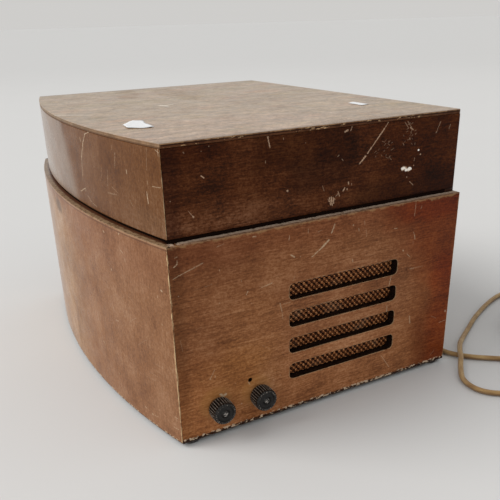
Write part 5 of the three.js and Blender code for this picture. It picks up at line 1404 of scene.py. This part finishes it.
# turntable, mat and spindle
RIM_R, PLATTER_R = 121.5, 127.0
lathe("turntable_pressed", [(4.1, 199.6), (4.1, 185.2), (11.0, 185.2), (11.0, 197.5), (RIM_R - 1.0, 197.5), (RIM_R, 196.8), (RIM_R, 187.4),
                            (RIM_R + 0.5, 187.0), (PLATTER_R - 0.6, 187.0), (PLATTER_R, 187.6), (PLATTER_R, 190.2), (PLATTER_R - 0.5, 190.8),
                            (PLATTER_R - 0.5, 191.6), (PLATTER_R, 192.2), (PLATTER_R, 197.6), (PLATTER_R - 0.35, 198.9), (PLATTER_R - 1.1, 199.7),
                            (PLATTER_R - 2.2, 200.0), (124.4, 200.0), (123.6, 199.8), (4.6, 199.8), (4.1, 199.6)],
      (*SPINDLE, 0.0), "z", 160, PLATTER_PAINT, "turntable", "turntable", close=False)
ribs = [(4.6, 200.3), (4.6, 202.2), (5.2, 202.8)]
r = 9.0
while r < 118.0:
    wide = 2.1 if r < 40.0 or r > 44.0 else 5.0
    ribs += [(r, 202.8), (r + 0.35, 202.15), (r + 0.35 + 0.9, 202.15), (r + 1.6, 202.8)]
    r += 1.6 + wide
ribs += [(121.6, 202.8), (122.3, 202.5), (122.5, 201.9), (122.5, 200.3), (4.6, 200.3)]
lathe("turntable_mat_ribbed", ribs, (*SPINDLE, 0.0), "z", 120, rubber_mat(), "turntable", "turntable_mat", close=False)
lathe("record_spindle_turned", [(0.0, 166.0), (3.4, 166.0), (3.6, 166.3), (3.6, 242.0), (3.45, 243.2), (3.15, 244.4), (3.1, 245.6), (3.1, 257.4),
                                (2.95, 258.8), (2.5, 260.2), (1.7, 261.4), (0.8, 261.9), (0.0, 262.0)], (*SPINDLE, 0.0), "z", 48, STEEL,
      "cabinet", "record_spindle", close=False)

# tonearm: a moulded arm lofted from sections along its length
def arm():
    ax = ARM_PIVOT[0]
    stations = [(-119.0, 7.0, 212.0, 213.0), (-117.8, 12.0, 212.0, 214.2), (-114.5, 16.6, 212.0, 216.0), (-108.0, 19.2, 212.0, 218.0),
                (-100.0, 20.0, 212.0, 220.3), (-92.0, 20.0, 212.0, 221.2), (-85.0, 18.6, 212.0, 221.6), (-78.0, 14.6, 212.0, 221.8),
                (-70.0, 11.6, 212.1, 221.9), (-50.0, 10.8, 212.3, 222.0), (0.0, 10.6, 212.6, 222.0), (60.0, 10.8, 213.0, 222.1),
                (90.0, 10.8, 213.0, 223.2), (112.0, 10.8, 213.0, 224.0), (128.0, 10.8, 213.9, 223.7), (134.0, 10.4, 214.2, 223.2),
                (136.2, 9.4, 214.4, 222.0), (137.0, 7.2, 215.0, 220.6)]
    k = 36
    bm = bmesh.new()
    rows = []
    ys = []
    for s0, s1 in zip(stations, stations[1:]):
        steps = max(1, math.ceil((s1[0] - s0[0]) / 3.0))
        ys += [s0[0] + (s1[0] - s0[0]) * j / steps for j in range(steps)]
    ys.append(stations[-1][0])

    def at(y, col):
        for s0, s1 in zip(stations, stations[1:]):
            if s0[0] <= y <= s1[0]:
                t = (y - s0[0]) / (s1[0] - s0[0])
                t = t * t * (3 - 2 * t) if s1[0] - s0[0] > 6 else t
                return s0[col] + (s1[col] - s0[col]) * t
        return stations[-1][col]
    for y in ys:
        w, lo, hi = at(y, 1), at(y, 2), at(y, 3)
        mid, row = lo + (hi - lo) * 0.42, []
        for i in range(k):
            a = 2 * math.pi * i / k
            c, s = math.cos(a), math.sin(a)
            e = 0.62 if s > 0 else 0.22
            x = w / 2 * math.copysign(abs(c) ** (0.75 if s > 0 else 0.22), c)
            z = mid + ((hi - mid) if s > 0 else (mid - lo)) * math.copysign(abs(s) ** (0.9 if s > 0 else e), s)
            row.append(bm.verts.new(P(ax + x, y, z)))
        rows.append(row)
    for a_, b_ in zip(rows, rows[1:]):
        for i in range(k):
            bm.faces.new((a_[i], a_[(i + 1) % k], b_[(i + 1) % k], b_[i]))
    bm.faces.new(rows[0])
    bm.faces.new(rows[-1])
    ob = from_bm(bm, "tonearm_moulded", ARM_CREAM, "tonearm", "tonearm")
    bevel(ob, 0.25, 2, 50)
    return ob


arm()
prism("pickup_cartridge_body", [[(-112.0, 209.0), (-109.5, 206.6), (-93.0, 206.6), (-92.0, 207.6), (-92.0, 211.7), (-112.0, 211.7)]], "x",
      ARM_PIVOT[0] - 6.0, ARM_PIVOT[0] + 6.0, DECK_BAKELITE, "tonearm", "pickup_cartridge", bev=0.5)
lathe("pickup_stylus", [(0.0, 204.4), (0.3, 204.5), (0.55, 205.0), (0.6, 205.9), (1.3, 206.4), (1.4, 207.2), (0.0, 207.2)],
      (ARM_PIVOT[0], -105.0, 0.0), "z", 24, STEEL, "tonearm", "pickup_cartridge", close=False)
tx, ty = ARM_PIVOT
lathe("tonearm_turret_base", [(0.0, 166.0), (4.8, 166.0), (5.0, 166.3), (5.0, 184.5), (14.6, 184.5), (15.0, 184.9), (15.0, 187.3), (14.3, 188.2),
                              (11.5, 189.6), (9.6, 191.4), (9.0, 193.4), (9.0, 205.6), (0.0, 205.6)],
      (tx, ty, 0.0), "z", 64, DECK_BAKELITE, "tonearm_turret", "tonearm_turret", close=False)
prism("tonearm_turret_yoke", [[(tx - 8.7, 203.0), (tx + 8.7, 203.0), (tx + 8.7, 224.0), (tx + 6.0, 224.0), (tx + 6.0, 208.5), (tx - 6.0, 208.5),
                               (tx - 6.0, 224.0), (tx - 8.7, 224.0)]], "y", ty - 8.0, ty + 8.0, DECK_BAKELITE, "tonearm_turret",
      "tonearm_turret", bev=0.8)
screws("tonearm_pivot_screws", [((tx + s * 8.68, ty, 218.0), (s, 0, 0), 2.6, 0.9, 0.7 * s) for s in (-1, 1)], BRASS, "tonearm_turret")
lathe("arm_rest_post", [(0.0, 184.3), (6.6, 184.3), (7.0, 184.6), (7.0, 185.7), (6.4, 186.3), (4.4, 187.0), (3.6, 188.2), (3.5, 189.5),
                        (3.5, 206.3), (0.0, 206.3)], (tx, -40.0, 0.0), "z", 40, STEEL, "cabinet", "arm_rest", close=False)
prism("arm_rest_cradle", [[(tx - 9.0, 206.0), (tx + 10.0, 206.0), (tx + 10.0, 218.0), (tx + 7.0, 218.0), (tx + 7.0, 211.7), (tx - 9.0, 211.7)]],
      "y", -45.0, -35.0, STEEL, "cabinet", "arm_rest", bev=0.9)

# the overarm that steadies the records, and its shaft
lathe("overarm_shaft_turned", [(0.0, 160.0), (3.8, 160.0), (4.0, 160.3), (4.0, 261.8), (6.2, 262.0), (6.5, 262.4), (6.5, 266.1), (6.2, 266.5),
                               (4.0, 266.5), (4.0, 276.2), (3.6, 276.8), (0.0, 277.0)], (*OVERARM, 0.0), "z", 48, STEEL,
      "overarm_shaft", "overarm_shaft", close=False)
ox, oy = SPINDLE[0] - OVERARM[0], SPINDLE[1] - OVERARM[1]
length, turned_by = math.hypot(ox, oy), math.atan2(oy, ox)
line = [(9 * math.cos(math.pi / 2 + math.pi * i / 16), 9 * math.sin(math.pi / 2 + math.pi * i / 16)) for i in range(17)]
line += [(length - 26, -5.5)]
line += [(length + 4 + 10 * math.cos(-math.pi / 2 + math.pi * i / 16), 10 * math.sin(-math.pi / 2 + math.pi * i / 16)) for i in range(17)]
line += [(length - 26, 5.5)]
ca, sa = math.cos(turned_by), math.sin(turned_by)
place = [(OVERARM[0] + x * ca - y * sa, OVERARM[1] + x * sa + y * ca) for x, y in line]
prism("overarm_blade", [place, circle(*OVERARM, 4.4, 28)], "z", 267.0, 272.0, DECK_BAKELITE, "overarm", "overarm", bev=1.2, seg=4)
lathe("overarm_hub", [(4.4, 267.0), (8.6, 267.0), (9.0, 267.4), (9.0, 273.6), (8.6, 274.5), (7.9, 275.0), (4.8, 275.0), (4.4, 274.6), (4.4, 267.0)],
      (*OVERARM, 0.0), "z", 56, DECK_BAKELITE, "overarm", "overarm", close=False)

# the two controls on the deck
def flutes(count, depth, rows):
    def wave(i, a, r_, h_):
        return (r_ - depth * rows.get(i, 0.0) * (0.5 - 0.5 * math.cos(count * a)), h_)
    return wave


lathe("speed_knob_skirt", [(0.0, 170.0), (3.0, 170.0), (3.0, 184.6), (12.6, 184.6), (13.0, 185.0), (13.0, 187.0), (12.8, 188.2), (12.8, 191.6),
                           (12.4, 193.0), (11.8, 193.8), (10.8, 194.0), (9.8, 193.6), (0.0, 193.4)], (*SPEED, 0.0), "z", 240, DECK_BAKELITE,
      "speed_knob", "speed_knob", flutes(30, 0.8, {6: 0.6, 7: 1.0, 8: 1.0, 9: 0.5}), close=False)
prism("speed_knob_bar", [[(SPEED[0] - 2.2, SPEED[1] - 9.5), (SPEED[0], SPEED[1] - 12.0), (SPEED[0] + 2.2, SPEED[1] - 9.5), (SPEED[0] + 2.4, SPEED[1] + 10.0),
                          (SPEED[0] + 1.2, SPEED[1] + 11.6), (SPEED[0] - 1.2, SPEED[1] + 11.6), (SPEED[0] - 2.4, SPEED[1] + 10.0)]], "z",
      190.0, 198.0, DECK_BAKELITE, "speed_knob", "speed_knob", bev=0.9)
lathe("start_lever_hub", [(0.0, 170.0), (3.0, 170.0), (3.0, 184.6), (8.7, 184.6), (9.0, 184.9), (9.0, 189.6), (8.5, 190.6), (7.6, 191.0), (0.0, 191.0)],
      (*START, 0.0), "z", 56, DECK_BAKELITE, "start_lever", "start_lever", close=False)
prism("start_lever_bar", [[(START[0] - 3.0, START[1] - 1.0), (START[0] - 2.1, START[1] - 24.0), (START[0] - 2.6, START[1] - 30.0),
                           (START[0] + 2.6, START[1] - 30.0), (START[0] + 2.1, START[1] - 24.0), (START[0] + 3.0, START[1] - 1.0)]], "z",
      186.0, 190.0, DECK_BAKELITE, "start_lever", "start_lever", bev=1.0)
lathe("start_lever_grip", [(0.0, 185.2), (5.1, 185.2), (5.5, 185.7), (5.5, 190.0), (5.2, 193.0), (4.8, 195.6), (4.1, 197.2), (2.8, 197.9), (0.0, 198.0)],
      (START[0], START[1] - 28.0, 0.0), "z", 128, DECK_BAKELITE, "start_lever", "start_lever",
      flutes(16, 0.5, {3: 1.0, 4: 1.0, 5: 0.7}), close=False)

# ------------------------------------------------------------------- the hinges
for side, cx in (("left", -140.0), ("right", 140.0)):
    x0, x1 = cx - 30.0, cx + 30.0
    prism(f"{side}_hinge_lower_leaf", [[(x0, 160.5), (x1, 160.5), (x1, 171.6), (cx + 10.2, 171.6), (cx + 10.2, 169.9), (cx - 10.2, 169.9),
                                        (cx - 10.2, 171.6), (x0, 171.6)]], "z", 208.3, 209.5, BRASS, "cabinet", f"{side}_hinge_base_leaf",
          bev=0.25, seg=2)
    prism(f"{side}_hinge_upper_leaf", [[(x0, 160.5), (x1, 160.5), (x1, 169.9), (cx + 9.8, 169.9), (cx + 9.8, 171.6), (cx - 9.8, 171.6),
                                        (cx - 9.8, 169.9), (x0, 169.9)]], "z", 210.0, 211.2, BRASS, "lid", f"{side}_hinge_lid_leaf",
          bev=0.25, seg=2)
    for tag, a, b, body, node in (("a", x0, cx - 10.2, "cabinet", "base"), ("b", cx + 10.2, x1, "cabinet", "base"), ("c", cx - 9.8, cx + 9.8, "lid", "lid")):
        lathe(f"{side}_hinge_knuckle_{tag}", [(2.1, a), (3.2, a), (3.5, a + 0.3), (3.5, b - 0.3), (3.2, b), (2.1, b), (2.1, a)],
              (0.0, 174.0, 209.75), "x", 36, BRASS, body, f"{side}_hinge_{node}_leaf", close=False)
    lathe(f"{side}_hinge_pin_turned", [(0.0, x0 - 0.6), (1.2, x0 - 0.55), (1.7, x0 - 0.2), (1.75, x0 + 0.2), (1.75, x1 - 0.2), (1.7, x1 + 0.2),
                                       (1.2, x1 + 0.55), (0.0, x1 + 0.6)], (0.0, 174.0, 209.75), "x", 28, STEEL, "cabinet",
          f"{side}_hinge_pin", close=False)

# --------------------------------------------------------- the lid's back and feet
lid_back_mat = wood("mahogany_lid_back", ("x", "z"), LID_COLS, speckle=0.4, grit=0.7, spec=0.12,
                    wear=[(from_low_z(211.5), 1.5, (0.22, 0.12, 0.06), 0.7, 0.2)])
prism("lid_back_veneered", [[(-217.4, LID_Z), (217.4, LID_Z), (217.4, 290.2), (-217.4, 290.2)]], "y", LID_BACK - LID_WALL, LID_BACK,
      lid_back_mat, "lid", "lid_back_panel", bev=0.5)
for tag, x, y in (("front_left", -223.5, -157.0), ("front_right", 223.5, -157.0), ("back_left", -223.5, 157.0), ("back_right", 223.5, 157.0)):
    lathe(f"foot_{tag}_moulded", [(0.0, 4.0), (9.6, 4.0), (10.3, 3.7), (10.5, 3.1), (10.3, 1.2), (9.8, 0.4), (8.9, 0.0), (4.4, 0.0), (4.1, 0.3),
                                  (4.0, 1.8), (0.0, 1.8)], (x, y, 0.0), "z", 48, RUBBER, "cabinet", f"foot_{tag}", close=False)
screws("foot_screws", [((x, y, 1.78), (0, 0, -1), 3.1, 1.2, x) for x in (-223.5, 223.5) for y in (-157.0, 157.0)], STEEL, "cabinet")


# ------------------------------------------------------------ the hardboard back
def board_back():
    g = Graph("hardboard_back")
    n = g.noise(g.p, 1.4, 3, 0.7)
    b = g.noise(g.p, 0.02, 3, 0.55)
    rim = mn(g, mn(g, g.z - 13.6, 167.7 - g.z), 224.7 - ab(g, g.x))
    col = g.ramp(b, [(0.3, (0.16, 0.085, 0.045)), (0.7, (0.27, 0.155, 0.085))])
    col = g.mix(g.step(n, 0.5, 0.72) * 0.35, col, (0.33, 0.21, 0.12))
    col = g.mix(g.step(rim, 5.0, 0.0) * 0.5, col, (0.09, 0.045, 0.025))
    return g.set(Base_Color=col, Roughness=0.85, Normal=g.bump(n, 0.35, 0.0003))


HARDBOARD = board_back()
vents = [rounded((i * 52 - 18.0, i * 52 + 18.0), (z - 4.0, z + 4.0), 3.6, 6) for z in (118.0, 140.0) for i in range(-3, 4)]
prism("back_panel_board", [[(-224.7, 13.6), (224.7, 13.6), (224.7, 167.7), (-224.7, 167.7)], *vents, circle(60.0, 24.0, 6.5, 32)], "y", 166.7, 169.7,
      HARDBOARD, "cabinet", "back_panel", bev=0.35, seg=2)
screws("back_panel_screws", [((x, 169.68, z), (0, 1, 0), 3.4, 1.3, 0.9 * i) for i, (x, z) in enumerate(
    [(-214, 22), (-107, 22), (0, 22), (107, 22), (214, 22), (-214, 159), (-107, 159), (0, 159), (107, 159), (214, 159), (-216, 92), (216, 92)])],
    STEEL, "cabinet")
lathe("cord_grommet", [(3.3, 161.8), (8.6, 161.8), (9.0, 162.2), (9.0, 163.4), (8.6, 163.8), (6.2, 163.9), (6.0, 164.2), (6.0, 170.6), (6.2, 170.8),
                       (8.4, 170.9), (8.8, 171.4), (8.8, 172.5), (8.4, 172.9), (6.6, 173.5), (6.3, 175.5), (5.6, 176.3), (6.1, 178.4), (5.9, 180.2),
                       (5.2, 181.0), (5.7, 183.0), (5.4, 184.8), (4.8, 185.6), (5.2, 187.6), (5.0, 189.4), (4.5, 190.2), (4.7, 192.6), (4.5, 195.2),
                       (4.2, 195.8), (3.3, 195.8), (3.3, 161.8)], (60.0, 0.0, 24.0), "y", 48, RUBBER, "cabinet", "cord_strain_relief",
      close=False)

# ------------------------------------------------------------------- the plug
plug = [(-11.0, 26.0), (-24.0, 12.0), (-24.0, -18.0), (-17.0, -25.0), (17.0, -25.0), (24.0, -18.0), (24.0, 12.0), (11.0, 26.0)]
px_, py_ = 231.0, 327.0
prism("plug_body", [[(px_ + x, py_ + y) for x, y in plug]], "z", 0.1, 20.0, DECK_BAKELITE, "cabinet", "mains_plug", bev=2.2, seg=5)
prism("plug_cover", [[(px_ + x * 0.93, py_ + y * 0.93) for x, y in plug]], "z", 19.0, 23.0, DECK_BAKELITE, "cabinet", "mains_plug",
      bev=1.0, seg=4)
lathe("plug_cord_grip", [(3.2, 18.0), (5.2, 18.0), (5.2, 26.4), (4.9, 27.1), (4.2, 27.4), (3.2, 27.4), (3.2, 18.0)], (px_, py_, 9.4), "y", 40,
      DECK_BAKELITE, "cabinet", "mains_plug", close=False)
for tag, x, y, top in (("earth", (-4.0, 4.0), (8.0, 12.0), 46.0), ("live", (-14.5, -8.0), (-13.0, -9.0), 41.0), ("neutral", (8.0, 14.5), (-13.0, -9.0), 41.0)):
    prism(f"plug_pin_{tag}", [[(px_ + x[0], py_ + y[0]), (px_ + x[1], py_ + y[0]), (px_ + x[1], py_ + y[1]), (px_ + x[0], py_ + y[1])]], "z", 20.0, top,
          BRASS, "cabinet", "mains_plug", bev=0.7)
screws("plug_screw", [((px_, py_ - 1.0, 22.98), (0, 0, 1), 3.0, 1.1, 0.5)], BRASS, "cabinet")


# ------------------------------------------- a finish for every solid that stays
def ply_mat():
    g = Graph("beech_plywood")
    s = g.noise(g.comb(g.x * 0.02, g.y * 0.5, g.z * 1.5), 1.0, 3, 0.6)
    lam = g.math("SINE", g.z * 3.1)
    col = g.ramp(s, [(0.3, (0.30, 0.18, 0.09)), (0.7, (0.48, 0.32, 0.17))])
    col = g.mix(g.step(lam, 0.6, 0.95) * 0.3, col, (0.16, 0.09, 0.045))
    # painted shade: near black from 196 mm up, with the specular taken away, for the inside under the lid
    col = g.mix(g.step(g.z, 196.0, 203.0), col, (0.012, 0.006, 0.004))
    return g.set(Base_Color=col, Roughness=g.step(s, 0.3, 0.7, 0.6, 0.8), Specular_IOR_Level=g.step(g.z, 196.0, 203.0, 0.45, 0.02),
                 Normal=g.bump(s, 0.2, 0.0005))


M = {
    "plywood": ply_mat(),
    "hardboard": HARDBOARD,
    "rubber": RUBBER,
    "brass": BRASS,
    "steel": STEEL,
    "transformer_paint": plain("transformer_enamel", ((0.035, 0.033, 0.03), (0.075, 0.07, 0.065)), 0.3, (0.45, 0.6), dust=0.15),
    "turntable_paint": PLATTER_PAINT,
    "deck_paint": DECK_PAINT,
    # painted shade: the cones are near black, for the shade inside the cabinet behind the slots
    "speaker_paper": plain("speaker_paper", ((0.018, 0.015, 0.013), (0.038, 0.032, 0.027)), 0.8, (0.85, 0.95), bump=0.3),
    "grille_mesh": GRILLE,
    "bakelite": DECK_BAKELITE,
    "arm_plastic": ARM_CREAM,
    "flex": bpy.data.materials["cotton_braid"],
}


def glass():
    g = Graph("valve_glass")
    n = g.noise(g.p, 0.1, 2)
    silver = g.step(g.z, 104.0, 110.0)
    return g.set(Base_Color=g.mix(silver, (0.9, 0.92, 0.93), (0.12, 0.12, 0.12)), Roughness=g.step(n, 0.3, 0.7, 0.03, 0.1),
                 Metallic=silver * 0.9, Transmission_Weight=g.step(g.z, 110.0, 100.0), IOR=1.48)


M["valve_glass"] = glass()
M["mahogany_base"] = rail_mat
M["mahogany_lid"] = lid_back_mat
M["mahogany_top"] = top_mat

NODE_SLOTS = {
    "mahogany_base": ["base_front_panel", "base_left_side", "base_right_side", "base_back_rail"],
    "mahogany_lid": ["lid_front_panel", "lid_left_side", "lid_right_side", "lid_back_panel"],
    "mahogany_top": ["lid_top_panel"],
    "plywood": ["bottom_board", "motor_board"],
    "hardboard": ["back_panel"],
    "rubber": ["foot_front_left", "foot_front_right", "foot_back_left", "foot_back_right", "turntable_mat", "idler_wheel", "cord_strain_relief"],
    "brass": ["left_hinge_base_leaf", "right_hinge_base_leaf", "left_hinge_lid_leaf", "right_hinge_lid_leaf", "lid_stay_quadrant", "lid_stay_guide", "motor_pulley"],
    "steel": ["left_hinge_pin", "right_hinge_pin", "left_speaker_basket", "right_speaker_basket", "amplifier_chassis", "smoothing_capacitor",
              "volume_control", "tone_control", "record_spindle", "idler_arm", "motor", "overarm_shaft", "arm_rest"],
    "transformer_paint": ["mains_transformer", "output_transformer"],
    "turntable_paint": ["turntable"],
    "deck_paint": ["deck_plate"],
    "speaker_paper": ["left_speaker_cone", "right_speaker_cone"],
    "grille_mesh": ["left_grille_mesh", "right_grille_mesh"],
    "valve_glass": ["output_valve", "rectifier_valve"],
    "bakelite": ["volume_knob", "tone_knob", "overarm", "speed_knob", "start_lever", "tonearm_turret", "pickup_cartridge", "mains_plug"],
    "arm_plastic": ["tonearm"],
    "flex": ["mains_cord", "mains_cord_coil"],
}
for s, names in NODE_SLOTS.items():
    for n in names:
        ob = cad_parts[n]
        if isinstance(ob, str):
            ob = bpy.data.objects[ob]
        for i in range(len(ob.material_slots)):
            ob.material_slots[i].material = M[s]

# painted shade: the speaker baskets are made near black so that the slots look dark inside
black = plain("speaker_frame_painted_shade", ((0.010, 0.009, 0.008), (0.020, 0.018, 0.016)), 0.5, (0.6, 0.8), spec=0.2)
for n in ("left_speaker_basket", "right_speaker_basket"):
    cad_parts[n].material_slots[0].material = black
